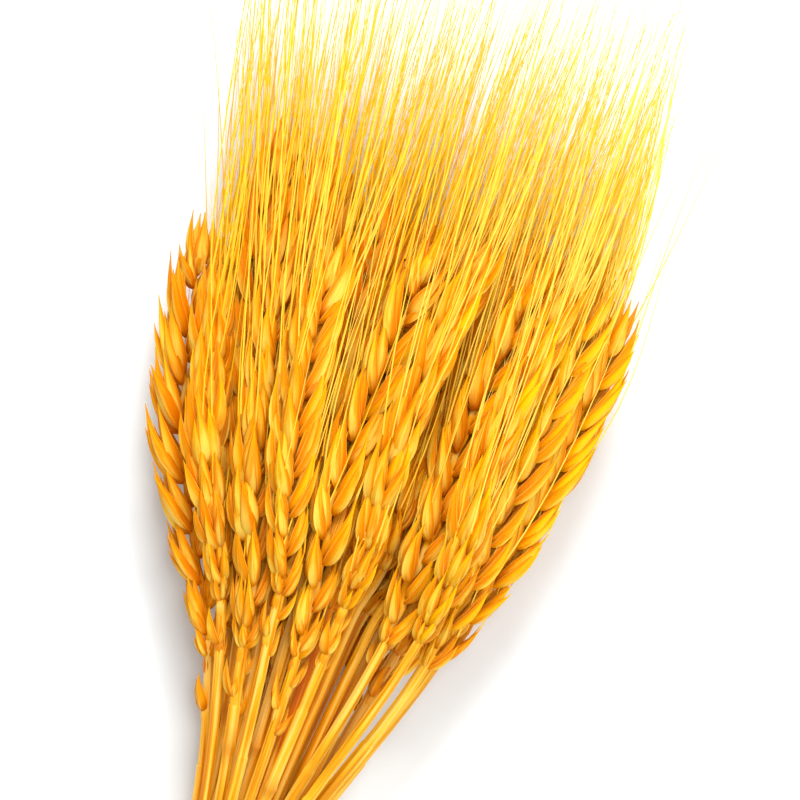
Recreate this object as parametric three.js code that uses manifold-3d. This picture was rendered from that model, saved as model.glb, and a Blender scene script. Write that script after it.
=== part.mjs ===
// A bundle of dried bearded wheat, tied round its stems and lying on a level surface.
// Units are millimetres. +Y runs along the stems towards the ears, +X across, +Z up.

import * as THREE from 'three';
import { mergeVertices } from 'three/addons/utils/BufferGeometryUtils.js';
import Module from 'manifold-3d';

const wasm = await Module();
wasm.setup();

// ---------------------------------------------------------------- driving dimensions

// Heights along Y are measured from the middle of the tie.
const CUT_END = -182; // mean Y of the cut stem ends
const CUT_END_SPREAD = 4; // how unevenly the stems are cut
const STEM_RADIUS = 1.1;
const STEM_SPACE = 1.38; // radius that one stem keeps to itself
const STEM_SIDES = 5;
const STEM_STEP = 30; // length of stem between two rings
const STEM_INTO_EAR = 3; // how far the stem runs up inside the ear's core

const EAR_SPACE = 4.4; // radius that one ear keeps to itself
const LOWEST = 0.58; // share of its space that a stalk lying on the surface has under it
const CORE = [1.1, 1.2]; // half the width of an ear's core, across its rows and between them
const ROW_SPIKELETS = 8; // in one row of an ear
const TIP_FLORET = 9; // length of the floret that ends an ear
const SPIKELET_LENGTH = 15;
const SPIKELET_SPREAD = [0.93, 1.05]; // how much their lengths vary
const SPIKELET_AT_FOOT = 0.66; // size of an ear's first spikelets against the largest
const HALF_SPIKELET = 0.75; // length of the short first and last spikelet of the second row
const FLORET_RADIUS = 1.5; // room that one floret of a spikelet takes
const SPLAY = [7, 18]; // degrees between a spikelet and the ear's axis, pressed in and free
const FAN = [0.1, 0.24]; // a beak's distance from the middle over the length, likewise
const SPLAY_TRIALS = 7;

// Places on a spikelet over its length: up along it, and out from its middle.
const BEAK_UP = 0.9;
const NOTCH_UP = 0.7;
const BELLY_UP = 0.4;
const BELLY_OUT = 0.13;
const BELLY_ASIDE = [0.08, 0.6]; // half the belly's width: a fixed share, and one of the fan

const AWNS = 9; // on one ear
const AWN_LENGTH = [48, 70];
const AWN_BASE_RADIUS = 0.43;
const AWN_SPACE = 0.55; // radius that one awn keeps to itself
const AWN_LEAN = [-1, -18]; // degrees to the bundle's right, from its middle to its left edge
const AWN_LEAN_REACH = 45; // how far out the left edge is
const AWN_RISE = 0.5; // how much of the ear's own rise its awns have
const AWN_TILT = [0, 7]; // degrees away from that course
const AWN_TRIALS = 60; // directions tried for one awn
const AWN_SWING = [2, 6]; // radians about the ear that a trial may reach, at first and later
const CLEARANCE = 0.45; // least gap between one stalk and the next

// The bundle's axis climbs from the cut ends to the ears, because the ears are the thicker end.
const AXIS_AT_CUT = 6.4;
const AXIS_AT_TIE = 15;
const AXIS_CLIMB = 0.05; // rise for each millimetre from the tie to the ears
const FLARE_BELOW_TIE = 1.3; // how much wider the bundle is at its cut ends than at the tie

const TIE_WIDTH = 13; // half the width inside the tie
const TIE_HEIGHT = 9.7; // half the height inside the tie
const TIE_MARGIN = 2.1; // from a stem's centre line to the inside of the tie
const TIE_THICKNESS = 1.3;
const TIE_LENGTH = 7;
const TIE_SEGMENTS = 10;
const KNOT = [4.2, 3.6, 1.9]; // half the knot's width, length and height
const TIE_SHARE = [0.22, 0.25]; // an ear's x and lift, scaled down to its stem's place in the tie
const FOOT_LIFT = 0.7; // how much of an ear's lift its foot has

// Ears of the upper row from left to right: the foot, the middle and the tip of each, as [x, y],
// its height over the bundle's axis, how far it is turned about its own axis in degrees, and how
// many awns it has kept.
const UPPER_EARS = [
  { foot: [-20.1, 50.2], middle: [-41, 91.2], tip: [-52.9, 136.8], lift: 3, turn: 8, awns: 0 },
  { foot: [-20.7, 62.8], middle: [-35.3, 95.6], tip: [-46.2, 129], lift: 12, turn: 75, awns: 3 },
  { foot: [-14.1, 55.3], middle: [-24, 94.2], tip: [-33.8, 136], lift: 15, turn: 40, awns: 9 },
  { foot: [-11.3, 68.9], middle: [-19, 99.5], tip: [-24.9, 142.2], lift: 22, turn: 25, awns: 9 },
  { foot: [-2.7, 57.3], middle: [-6.3, 95.2], tip: [-4.2, 150.6], lift: 17, turn: 4, awns: 9 },
  { foot: [3.1, 70.9], middle: [2.1, 108.3], tip: [5.8, 152.1], lift: 25, turn: 85, awns: 9 },
  { foot: [13.6, 66.5], middle: [13.3, 104.9], tip: [17.8, 152.1], lift: 15, turn: 12, awns: 9 },
  { foot: [20.3, 69.3], middle: [21.1, 103.1], tip: [24.4, 148.1], lift: 23, turn: 72, awns: 9 },
  { foot: [23.3, 64.3], middle: [27.4, 107.3], tip: [30.8, 151.2], lift: 13, turn: 40, awns: 9 },
  { foot: [25.8, 67], middle: [34, 109.1], tip: [36.2, 150.3], lift: 4, turn: 15, awns: 9 },
];

// Lower rows: the first and last ear's x, the height over the axis, and the reach of the tips.
const LOWER_ROWS = [
  { ears: 10, from: -42, to: 34, lift: 6, tips: [150, 162] },
  { ears: 10, from: -44, to: 34, lift: -4, tips: [144, 160] },
  { ears: 9, from: -40, to: 30, lift: -13, tips: [136, 152] },
];
const LOWER_EAR_LENGTH = [74, 86];
const LOWER_EAR_FOOT = 0.4; // the x of a lower ear's foot and middle over its tip's
const LOWER_EAR_MIDDLE = 0.78;
const ROW_JITTER = [0.8, 4]; // how far lower ears leave their even places: of a step, and in lift

// Levels across the bundle, where the stalks are settled side by side.
const LEVEL_STEP = 10;
const FIRST_LEVEL = -200;
const LEVELS = 40;
const SETTLE_PASSES = 500; // while the stalks bend
const PACKING_PASSES = 60; // afterwards, each level by itself
const PUSH = [0.5, 0.8]; // share of an overlap that one pass of each kind takes away
const SPRING_BACK = 0.005; // share of a stalk's bend that it takes back in one pass, over its give
const UPPER_GIVE = 0.25; // how readily an ear of the upper row gives way
const LOWER_GIVE = 1;

const SEEDS = { rows: 11, cut: 200, spikelets: 500, awns: 900 };

const BUNDLE_AXIS = new THREE.Vector3(0, 1, AXIS_CLIMB).normalize();

// ---------------------------------------------------------------- small helpers

// A seeded stream of numbers from 0 to 1 (the minimal standard generator).
function seeded(seed) {
  let state = (seed * 7919 + 12345) % 2147483647;
  return () => {
    state = (state * 16807) % 2147483647;
    return state / 2147483647;
  };
}

function between([low, high], share) {
  return low + (high - low) * share;
}

function clamp(value, low, high) {
  return Math.min(high, Math.max(low, value));
}

// Height of the bundle's axis over the surface at a given Y.
function axisHeight(y) {
  if (y < 0) return AXIS_AT_TIE + (AXIS_AT_CUT - AXIS_AT_TIE) * (y / CUT_END);
  return AXIS_AT_TIE + AXIS_CLIMB * y;
}

// A smooth curve through knots [y, value], straight beyond the first and the last.
function through(knots, y) {
  const last = knots.length - 1;
  const slope = (i) => {
    const a = knots[Math.max(i - 1, 0)];
    const b = knots[Math.min(i + 1, last)];
    return (b[1] - a[1]) / (b[0] - a[0]);
  };
  if (y <= knots[0][0]) return knots[0][1] + slope(0) * (y - knots[0][0]);
  if (y >= knots[last][0]) return knots[last][1] + slope(last) * (y - knots[last][0]);
  let i = 0;
  while (knots[i + 1][0] < y) i += 1;
  const span = knots[i + 1][0] - knots[i][0];
  const t = (y - knots[i][0]) / span;
  const s = 1 - t;
  return knots[i][1] * s * s * (1 + 2 * t) + knots[i + 1][1] * t * t * (1 + 2 * s)
    + slope(i) * span * t * s * s - slope(i + 1) * span * s * t * t;
}

// ---------------------------------------------------------------- where each stalk runs

function planStalks() {
  const plans = UPPER_EARS.map((ear) => ({ ...ear, give: UPPER_GIVE }));
  const draw = seeded(SEEDS.rows);
  for (const row of LOWER_ROWS) {
    for (let i = 0; i < row.ears; i += 1) {
      const place = (i + ROW_JITTER[0] * (draw() - 0.5)) / (row.ears - 1);
      const tipX = between([row.from, row.to], place);
      const tipY = between(row.tips, draw());
      const footY = tipY - between(LOWER_EAR_LENGTH, draw());
      const lift = row.lift + ROW_JITTER[1] * (draw() - 0.5);
      const turn = 180 * draw();
      plans.push({
        foot: [tipX * LOWER_EAR_FOOT, footY],
        middle: [tipX * LOWER_EAR_MIDDLE, (footY + tipY) / 2],
        tip: [tipX, tipY],
        lift,
        turn,
        awns: AWNS,
        give: LOWER_GIVE,
      });
    }
  }
  return plans.map(routeStalk);
}

// The place that a stalk would take at every level if the others weren't there.
function routeStalk(plan, index) {
  const draw = seeded(SEEDS.cut + index);
  const cutY = CUT_END + CUT_END_SPREAD * (2 * draw() - 1);
  const tieX = plan.middle[0] * TIE_SHARE[0];
  const tieLift = plan.lift * TIE_SHARE[1];
  const acrossKnots = [
    [cutY, tieX * FLARE_BELOW_TIE], [0, tieX], [plan.foot[1], plan.foot[0]],
    [plan.middle[1], plan.middle[0]], [plan.tip[1], plan.tip[0]],
  ];
  const liftKnots = [
    [cutY, tieLift * FLARE_BELOW_TIE], [0, tieLift], [plan.foot[1], plan.lift * FOOT_LIFT],
    [plan.middle[1], plan.lift], [plan.tip[1], plan.lift],
  ];
  const { turn, awns, give } = plan;
  const route = { cutY, footY: plan.foot[1], tipY: plan.tip[1], turn, awns, give, index };
  route.wishX = [];
  route.wishZ = [];
  route.space = [];
  for (let k = 0; k < LEVELS; k += 1) {
    const y = FIRST_LEVEL + k * LEVEL_STEP;
    route.wishX.push(through(acrossKnots, y));
    route.wishZ.push(axisHeight(y) + through(liftKnots, y));
    route.space.push(spaceAt(route, y));
  }
  route.x = [...route.wishX];
  route.z = [...route.wishZ];
  return route;
}

// Radius that a stalk keeps to itself at a given Y: it grows round the ear's foot, shrinks
// towards its tip, and is nothing past the stalk's ends.
function spaceAt(route, y) {
  const margin = 0.1;
  const share = (y - route.footY) / (route.tipY - route.footY);
  if (y < route.cutY - LEVEL_STEP || share > 1 + margin) return 0;
  const rise = clamp((share + margin) / (2 * margin), 0, 1);
  const fall = clamp((1 + margin - share) / (3 * margin), 0, 1);
  return STEM_SPACE + (EAR_SPACE - STEM_SPACE) * Math.min(rise, fall);
}

// Moves the stalks apart at each level until none is in another's space, each bending as a
// whole: its shift from its own course is evened out from level to level.
function settle(stalks) {
  const total = SETTLE_PASSES + PACKING_PASSES;
  for (let pass = 0; pass < total; pass += 1) {
    const bending = pass < SETTLE_PASSES;
    for (let k = 0; k < LEVELS; k += 1) pushApart(stalks, k, bending ? PUSH[0] : PUSH[1]);
    if (bending) stalks.forEach(evenOut);
    stalks.forEach(keepInside);
  }
}

// Moves every two stalks that are in each other's space at one level away from each other.
function pushApart(stalks, k, strength) {
  const pushX = stalks.map(() => 0);
  const pushZ = stalks.map(() => 0);
  for (let i = 0; i < stalks.length; i += 1) {
    for (let j = i + 1; j < stalks.length; j += 1) {
      if (stalks[i].space[k] === 0 || stalks[j].space[k] === 0) continue;
      const need = stalks[i].space[k] + stalks[j].space[k];
      const dx = stalks[j].x[k] - stalks[i].x[k];
      const dz = stalks[j].z[k] - stalks[i].z[k];
      const apart = Math.hypot(dx, dz) + 1e-9;
      if (apart >= need) continue;
      const push = (strength * (need - apart)) / apart;
      const share = stalks[i].give / (stalks[i].give + stalks[j].give);
      pushX[i] -= push * share * dx;
      pushZ[i] -= push * share * dz;
      pushX[j] += push * (1 - share) * dx;
      pushZ[j] += push * (1 - share) * dz;
    }
  }
  stalks.forEach((stalk, i) => {
    stalk.x[k] += pushX[i];
    stalk.z[k] += pushZ[i];
  });
}

// Shares a stalk's shift at each level with the levels above and below.
function evenOut(stalk) {
  const kept = 1 - SPRING_BACK / stalk.give;
  for (const [place, wish] of [[stalk.x, stalk.wishX], [stalk.z, stalk.wishZ]]) {
    const shift = place.map((value, k) => value - wish[k]);
    for (let k = 0; k < LEVELS; k += 1) {
      const before = shift[Math.max(k - 1, 0)];
      const after = shift[Math.min(k + 1, LEVELS - 1)];
      place[k] = wish[k] + kept * (0.5 * shift[k] + 0.25 * (before + after));
    }
  }
}

// Keeps a stalk over the surface, and inside the tie where it passes through.
function keepInside(stalk) {
  for (let k = 0; k < LEVELS; k += 1) {
    const y = FIRST_LEVEL + k * LEVEL_STEP;
    if (Math.abs(y) <= LEVEL_STEP) {
      const across = stalk.x[k] / (TIE_WIDTH - TIE_MARGIN);
      const up = (stalk.z[k] - axisHeight(y)) / (TIE_HEIGHT - TIE_MARGIN);
      const out = Math.hypot(across, up);
      if (out > 1) {
        stalk.x[k] /= out;
        stalk.z[k] = axisHeight(y) + (stalk.z[k] - axisHeight(y)) / out;
      }
    }
    const lowest = stalk.space[k] > 0 ? stalk.space[k] * LOWEST : STEM_SPACE;
    stalk.z[k] = Math.max(stalk.z[k], lowest);
  }
}

// A point of the stalk's centre line: a Catmull-Rom curve through its levels.
function pointAt(stalk, y) {
  const t = clamp((y - FIRST_LEVEL) / LEVEL_STEP, 1, LEVELS - 2.001);
  const k = Math.floor(t);
  const f = t - k;
  const blend = (v) => 0.5 * (2 * v[k] + (v[k + 1] - v[k - 1]) * f
    + (2 * v[k - 1] - 5 * v[k] + 4 * v[k + 1] - v[k + 2]) * f * f
    + (3 * v[k] - v[k - 1] - 3 * v[k + 1] + v[k + 2]) * f * f * f);
  return new THREE.Vector3(blend(stalk.x), y, blend(stalk.z));
}

// The stalk's own directions at a given Y: along it, across its two rows, and between them.
function directionsAt(stalk, y) {
  const along = pointAt(stalk, y + 2).sub(pointAt(stalk, y - 2)).normalize();
  const level = new THREE.Vector3().crossVectors(along, new THREE.Vector3(0, 0, 1)).normalize();
  const rows = level.applyAxisAngle(along, THREE.MathUtils.degToRad(stalk.turn));
  return { along, rows, face: new THREE.Vector3().crossVectors(along, rows) };
}

// ---------------------------------------------------------------- clearances between stalks

// Least distance between the segments a0-a1 and b0-b1.
function segmentGap(a0, a1, b0, b1) {
  const u = a1.clone().sub(a0);
  const v = b1.clone().sub(b0);
  const w = a0.clone().sub(b0);
  const uu = u.dot(u);
  const uv = u.dot(v);
  const vv = v.dot(v);
  const uw = u.dot(w);
  const vw = v.dot(w);
  const fall = uu * vv - uv * uv;
  let s = fall > 1e-9 ? clamp((uv * vw - vv * uw) / fall, 0, 1) : 0;
  const t = clamp((uv * s + vw) / vv, 0, 1);
  s = clamp((uv * t - uw) / uu, 0, 1);
  return w.addScaledVector(u, s).addScaledVector(v, -t).length();
}

function boxesApart(a, b, reach) {
  return ['x', 'y', 'z'].some((axis) => (
    Math.min(a.from[axis], a.to[axis]) - reach > Math.max(b.from[axis], b.to[axis])
    || Math.min(b.from[axis], b.to[axis]) - reach > Math.max(a.from[axis], a.to[axis])));
}

// Whether a rod { from, to, radius } keeps clear of the rods of every other stalk.
function isClear(rod, owner, taken) {
  return taken.every((other) => {
    if (other.owner === owner) return true;
    const need = rod.radius + other.radius + CLEARANCE;
    if (boxesApart(rod, other, need)) return true;
    return segmentGap(rod.from, rod.to, other.from, other.to) >= need;
  });
}

// The stem and the ear's core as a chain of rods.
function coreRods(stalk) {
  const rods = [];
  const count = Math.ceil((stalk.tipY - stalk.cutY) / LEVEL_STEP);
  for (let i = 0; i < count; i += 1) {
    const start = between([stalk.cutY, stalk.tipY], i / count);
    const end = between([stalk.cutY, stalk.tipY], (i + 1) / count);
    const radius = end < stalk.footY ? STEM_RADIUS + 0.1 : Math.hypot(...CORE);
    rods.push({ from: pointAt(stalk, start), to: pointAt(stalk, end), radius, owner: stalk.index });
  }
  return rods;
}

// ---------------------------------------------------------------- spikelets and awns

// The size of a spikelet against the largest, by its place along the ear from foot to tip.
function spikeletSize(share) {
  return SPIKELET_AT_FOOT + (1 - SPIKELET_AT_FOOT) * Math.min(1, share * 5, (1 - share) * 4);
}

// The two florets that a spikelet shows, splayed by the given angle in degrees.
function floretRods(spikelet, splay, fan) {
  const { root, along, out, face, length } = spikelet;
  const angle = THREE.MathUtils.degToRad(splay);
  const axis = along.clone().multiplyScalar(Math.cos(angle)).addScaledVector(out, Math.sin(angle));
  return [-1, 1].map((hand) => {
    const to = root.clone().addScaledVector(axis, length * BEAK_UP);
    to.addScaledVector(face, hand * fan * length);
    return { from: root.clone(), to, radius: FLORET_RADIUS * (length / SPIKELET_LENGTH) };
  });
}

// Splays a spikelet as far as its neighbours and the surface allow.
function fitSpikelet(spikelet, owner, taken) {
  for (let trial = SPLAY_TRIALS; ; trial -= 1) {
    const splay = between(SPLAY, trial / SPLAY_TRIALS);
    const fan = between(FAN, trial / SPLAY_TRIALS);
    const rods = floretRods(spikelet, splay, fan);
    const fits = rods.every((rod) => rod.to.z > rod.radius / 4 && isClear(rod, owner, taken));
    if (fits || trial === 0) return { ...spikelet, splay, fan, rods, awns: [null, null] };
  }
}

// The joints between the spikelets of one row, counted in spikelets from the ear's foot. The
// second row stands half a spikelet further on, between two halves.
function rowJoints(side) {
  const joints = [0];
  for (let i = 1; i < ROW_SPIKELETS; i += 1) joints.push(side > 0 ? i : i - 0.5);
  if (side < 0) joints.push(ROW_SPIKELETS - 0.5);
  joints.push(ROW_SPIKELETS);
  return joints;
}

function planRow(stalk, side, taken) {
  const draw = seeded(SEEDS.spikelets + 2 * stalk.index + (side > 0));
  const pitch = (stalk.tipY - TIP_FLORET - stalk.footY) / ROW_SPIKELETS;
  const joints = rowJoints(side);
  return joints.slice(1).map((joint, i) => {
    const from = stalk.footY + joints[i] * pitch;
    const to = stalk.footY + joint * pitch;
    const { along, rows, face } = directionsAt(stalk, from);
    const out = rows.multiplyScalar(side);
    const root = pointAt(stalk, from).addScaledVector(out, CORE[0]);
    const size = spikeletSize(joints[i] / ROW_SPIKELETS) * between(SPIKELET_SPREAD, draw());
    const length = SPIKELET_LENGTH * size * (joint - joints[i] < 1 ? HALF_SPIKELET : 1);
    const place = { root, along, out, face: face.multiplyScalar(side), length, from, to };
    return fitSpikelet(place, stalk.index, taken);
  });
}

// The way that an ear's awns run: straight on, and aslant on the bundle's left.
function awnAxis(stalk) {
  const share = clamp(-pointAt(stalk, stalk.tipY).x / AWN_LEAN_REACH, 0, 1);
  const lean = THREE.MathUtils.degToRad(between(AWN_LEAN, share * share));
  const earAxis = directionsAt(stalk, stalk.tipY - TIP_FLORET).along;
  const rise = between([BUNDLE_AXIS.z, earAxis.z], AWN_RISE);
  return new THREE.Vector3(Math.sin(lean), Math.cos(lean), rise).normalize();
}

// Aims an awn from the beak of a floret, out of the way of every other stalk and the surface.
function fitAwn(stalk, floret, draw, taken) {
  const along = awnAxis(stalk);
  const splayed = floret.to.clone().sub(floret.from).normalize();
  const outward = splayed.addScaledVector(along, -splayed.dot(along)).normalize();
  for (let trial = 0; trial < AWN_TRIALS; trial += 1) {
    const tilt = THREE.MathUtils.degToRad(between(AWN_TILT, draw()));
    const swing = (draw() - 0.5) * AWN_SWING[trial < AWN_TRIALS / 3 ? 0 : 1];
    const aside = outward.clone().applyAxisAngle(along, swing);
    const aim = along.clone().multiplyScalar(Math.cos(tilt)).addScaledVector(aside, Math.sin(tilt));
    const to = floret.to.clone().addScaledVector(aim, between(AWN_LENGTH, draw()));
    const awn = { from: floret.to, to, radius: AWN_SPACE, owner: stalk.index };
    if (to.z > AWN_SPACE && isClear(awn, stalk.index, taken)) return awn;
  }
  return null;
}

// Awns stand evenly up both rows, on the left or the right floret of their spikelet.
function planAwns(stalk, taken) {
  const draw = seeded(SEEDS.awns + stalk.index);
  for (let i = 0; i < stalk.awns; i += 1) {
    const row = stalk.rows[i % 2];
    const place = Math.round(between([1, row.length - 1], i / (AWNS - 1)));
    const hand = draw() < 0.5 ? 0 : 1;
    const awn = fitAwn(stalk, row[place].rods[hand], draw, taken);
    if (!awn) continue;
    row[place].awns[hand] = awn;
    taken.push(awn);
  }
}

// ---------------------------------------------------------------- solids

function toSolid(geometry) {
  const bare = geometry.index ? geometry.toNonIndexed() : geometry;
  bare.deleteAttribute('normal');
  bare.deleteAttribute('uv');
  const merged = mergeVertices(bare, 1e-5);
  return new wasm.Manifold(new wasm.Mesh({
    numProp: 3,
    vertProperties: merged.attributes.position.array,
    triVerts: new Uint32Array(merged.index.array),
  }));
}

function toGeometry(solid) {
  const mesh = solid.getMesh();
  const geometry = new THREE.BufferGeometry();
  geometry.setAttribute('position', new THREE.BufferAttribute(mesh.vertProperties, 3));
  geometry.setIndex(new THREE.BufferAttribute(mesh.triVerts, 1));
  return geometry;
}

// Only the outer body: scraps go, and a hollow that fusing has sealed is filled.
function outerBody(solid) {
  const bodies = solid.decompose();
  return bodies.reduce((best, body) => (body.volume() > best.volume() ? body : best));
}

// A stem's outline: a regular polygon.
function stemSection() {
  const section = new THREE.Shape();
  for (let i = 0; i < STEM_SIDES; i += 1) {
    const angle = (2 * Math.PI * i) / STEM_SIDES;
    const corner = [STEM_RADIUS * Math.cos(angle), STEM_RADIUS * Math.sin(angle)];
    section[i === 0 ? 'moveTo' : 'lineTo'](...corner);
  }
  section.closePath();
  return section;
}

function stemSolid(stalk) {
  const ends = [stalk.cutY, stalk.footY + STEM_INTO_EAR];
  const steps = Math.round((ends[1] - ends[0]) / STEM_STEP);
  const points = [];
  for (let i = 0; i <= steps; i += 1) points.push(pointAt(stalk, between(ends, i / steps)));
  const curve = new THREE.CatmullRomCurve3(points);
  const options = { steps, extrudePath: curve, bevelEnabled: false };
  return toSolid(new THREE.ExtrudeGeometry(stemSection(), options));
}

// A closed skin that is built up corner by corner, its faces turning left seen from outside.
class Skin {
  corners = [];

  faces = [];

  add(point) {
    return this.corners.push(point) - 1;
  }

  face(...corners) {
    this.faces.push(...corners);
  }

  toSolid() {
    const geometry = new THREE.BufferGeometry().setFromPoints(this.corners);
    geometry.setIndex(this.faces);
    return toSolid(geometry);
  }
}

// One corner of an ear's core, at a joint of a row: on the left or the right seen from outside.
function coreCorner(stalk, y, side, hand) {
  const { rows, face } = directionsAt(stalk, y);
  return pointAt(stalk, y)
    .addScaledVector(rows, side * CORE[0])
    .addScaledVector(face, side * hand * CORE[1]);
}

// Ends a floret in its beak, or carries it on as an awn. around: the corners that meet there.
function addBeak(skin, around, directions, beak, awn) {
  if (!awn) {
    const point = skin.add(beak);
    around.forEach((corner, i) => skin.face(corner, around[(i + 1) % 4], point));
    return;
  }
  const tip = skin.add(awn.to);
  const base = (way) => skin.add(beak.clone().addScaledVector(way, AWN_BASE_RADIUS));
  const ring = directions.map(base);
  around.forEach((corner, i) => {
    const next = (i + 1) % 4;
    skin.face(corner, around[next], ring[next]);
    skin.face(corner, ring[next], ring[i]);
    skin.face(ring[i], ring[next], tip);
  });
}

// One spikelet, grown from the core between two joints: a belly and two beaks with a notch.
function addSpikelet(skin, spikelet, [bottomLeft, bottomRight, topLeft, topRight]) {
  const { root, along, out, face, length, splay, fan, rods, awns } = spikelet;
  const angle = THREE.MathUtils.degToRad(splay);
  const axis = along.clone().multiplyScalar(Math.cos(angle)).addScaledVector(out, Math.sin(angle));
  const away = out.clone().multiplyScalar(Math.cos(angle)).addScaledVector(along, -Math.sin(angle));
  const corner = (up, aside, raised) => skin.add(root.clone()
    .addScaledVector(axis, up * length)
    .addScaledVector(face, aside * length)
    .addScaledVector(away, raised * length));
  const belly = BELLY_ASIDE[0] + BELLY_ASIDE[1] * fan;
  const outer = corner(BELLY_UP, 0, BELLY_OUT);
  const left = corner(BELLY_UP, -belly, 0);
  const right = corner(BELLY_UP, belly, 0);
  const notch = corner(NOTCH_UP, 0, 0);
  skin.face(bottomLeft, bottomRight, outer);
  skin.face(bottomLeft, outer, left);
  skin.face(bottomRight, right, outer);
  skin.face(bottomLeft, left, topLeft);
  skin.face(bottomRight, topRight, right);
  skin.face(topLeft, notch, topRight);
  const sideways = face.clone().negate();
  const inward = away.clone().negate();
  const leftRing = [sideways, away, face, inward];
  const rightRing = [away, face, inward, sideways];
  addBeak(skin, [left, outer, notch, topLeft], leftRing, rods[0].to, awns[0]);
  addBeak(skin, [outer, right, topRight, notch], rightRing, rods[1].to, awns[1]);
}

// Joins the right edge of one row to the left edge of the other.
function addSeam(skin, right, left) {
  let i = 0;
  let j = 0;
  while (i < right.length - 1 || j < left.length - 1) {
    const onRight = j === left.length - 1
      || (i < right.length - 1 && skin.corners[right[i + 1]].y < skin.corners[left[j + 1]].y);
    if (onRight) {
      skin.face(right[i + 1], right[i], left[j]);
      i += 1;
    } else {
      skin.face(left[j], left[j + 1], right[i]);
      j += 1;
    }
  }
}

// An ear as one skin: a slim four-cornered core with a row of spikelets on two opposite sides.
function earSolid(stalk) {
  const skin = new Skin();
  const edges = stalk.rows.map((row, i) => {
    const side = i === 0 ? 1 : -1;
    const joints = [...row.map((spikelet) => spikelet.from), row[row.length - 1].to];
    return [-1, 1].map((hand) => joints.map((y) => skin.add(coreCorner(stalk, y, side, hand))));
  });
  stalk.rows.forEach((row, side) => {
    const [left, right] = edges[side];
    row.forEach((spikelet, i) => {
      addSpikelet(skin, spikelet, [left[i], right[i], left[i + 1], right[i + 1]]);
    });
  });
  const [[leftA, rightA], [leftB, rightB]] = edges;
  addSeam(skin, rightA, leftB);
  addSeam(skin, rightB, leftA);
  skin.face(rightA[0], leftA[0], rightB[0]);
  skin.face(rightA[0], rightB[0], leftB[0]);
  const rim = [leftA, rightA, leftB, rightB].map((edge) => edge[edge.length - 1]);
  const tip = skin.add(pointAt(stalk, stalk.tipY));
  rim.forEach((corner, i) => skin.face(corner, rim[(i + 1) % 4], tip));
  return skin.toSolid();
}

// Everything under the surface, which flattens what rests on it.
function groundSolid() {
  const size = 1000;
  const box = new THREE.BoxGeometry(size, size, size);
  box.translate(0, 0, -size / 2);
  return toSolid(box);
}

function stalkSolid(stalk, ground) {
  return outerBody(stemSolid(stalk).add(earSolid(stalk)).subtract(ground));
}

// The tie: a flat band wound close round the stems, with a flat knot on top.
function tieSolid() {
  const outline = new THREE.Shape();
  outline.absellipse(0, 0, TIE_WIDTH + TIE_THICKNESS, TIE_HEIGHT + TIE_THICKNESS, 0, 2 * Math.PI);
  const inside = new THREE.Path();
  inside.absellipse(0, 0, TIE_WIDTH, TIE_HEIGHT, 0, 2 * Math.PI, true);
  outline.holes.push(inside);
  const options = { depth: TIE_LENGTH, bevelEnabled: false, curveSegments: TIE_SEGMENTS };
  const band = new THREE.ExtrudeGeometry(outline, options);
  band.translate(0, 0, -TIE_LENGTH / 2);
  band.rotateX(Math.PI / 2);
  const knot = new THREE.SphereGeometry(1, 8, 5);
  knot.scale(...KNOT);
  knot.translate(0, 0, TIE_HEIGHT + TIE_THICKNESS + KNOT[2] * 0.3);
  const bore = new THREE.CylinderGeometry(1, 1, 2 * KNOT[1] + TIE_LENGTH, 4 * TIE_SEGMENTS);
  bore.scale(TIE_WIDTH, 1, TIE_HEIGHT);
  return toSolid(band).add(toSolid(knot).subtract(toSolid(bore)));
}

// ---------------------------------------------------------------- the bundle

function buildBundle() {
  const stalks = planStalks();
  settle(stalks);
  const taken = stalks.flatMap(coreRods);
  for (const stalk of stalks) {
    stalk.rows = [1, -1].map((side) => planRow(stalk, side, taken));
    for (const { rods } of stalk.rows.flat()) {
      taken.push(...rods.map((rod) => ({ ...rod, owner: stalk.index })));
    }
  }
  for (const stalk of stalks) planAwns(stalk, taken);

  const straw = new THREE.MeshStandardMaterial({ color: '#f0b21c', roughness: 0.6, metalness: 0 });
  const raffia = new THREE.MeshStandardMaterial({ color: '#cfa468', roughness: 0.8, metalness: 0 });
  const bundle = new THREE.Group();
  const ground = groundSolid();
  for (const stalk of stalks) {
    const mesh = new THREE.Mesh(toGeometry(stalkSolid(stalk, ground)), straw.clone());
    mesh.name = `stalk_${String(stalk.index + 1).padStart(2, '0')}`;
    bundle.add(mesh);
  }
  const tie = new THREE.Mesh(toGeometry(tieSolid()), raffia);
  tie.name = 'tie';
  tie.position.z = AXIS_AT_TIE;
  bundle.add(tie);
  return bundle;
}

// The origin is the middle of the bundle's box, at the height of the surface.
function centreOnBox(bundle) {
  bundle.updateMatrixWorld(true);
  const box = new THREE.Box3().setFromObject(bundle, true);
  bundle.position.set(-(box.min.x + box.max.x) / 2, -(box.min.y + box.max.y) / 2, -box.min.z);
}

const group = buildBundle();
centreOnBox(group);

export default group;
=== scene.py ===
import math

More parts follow.
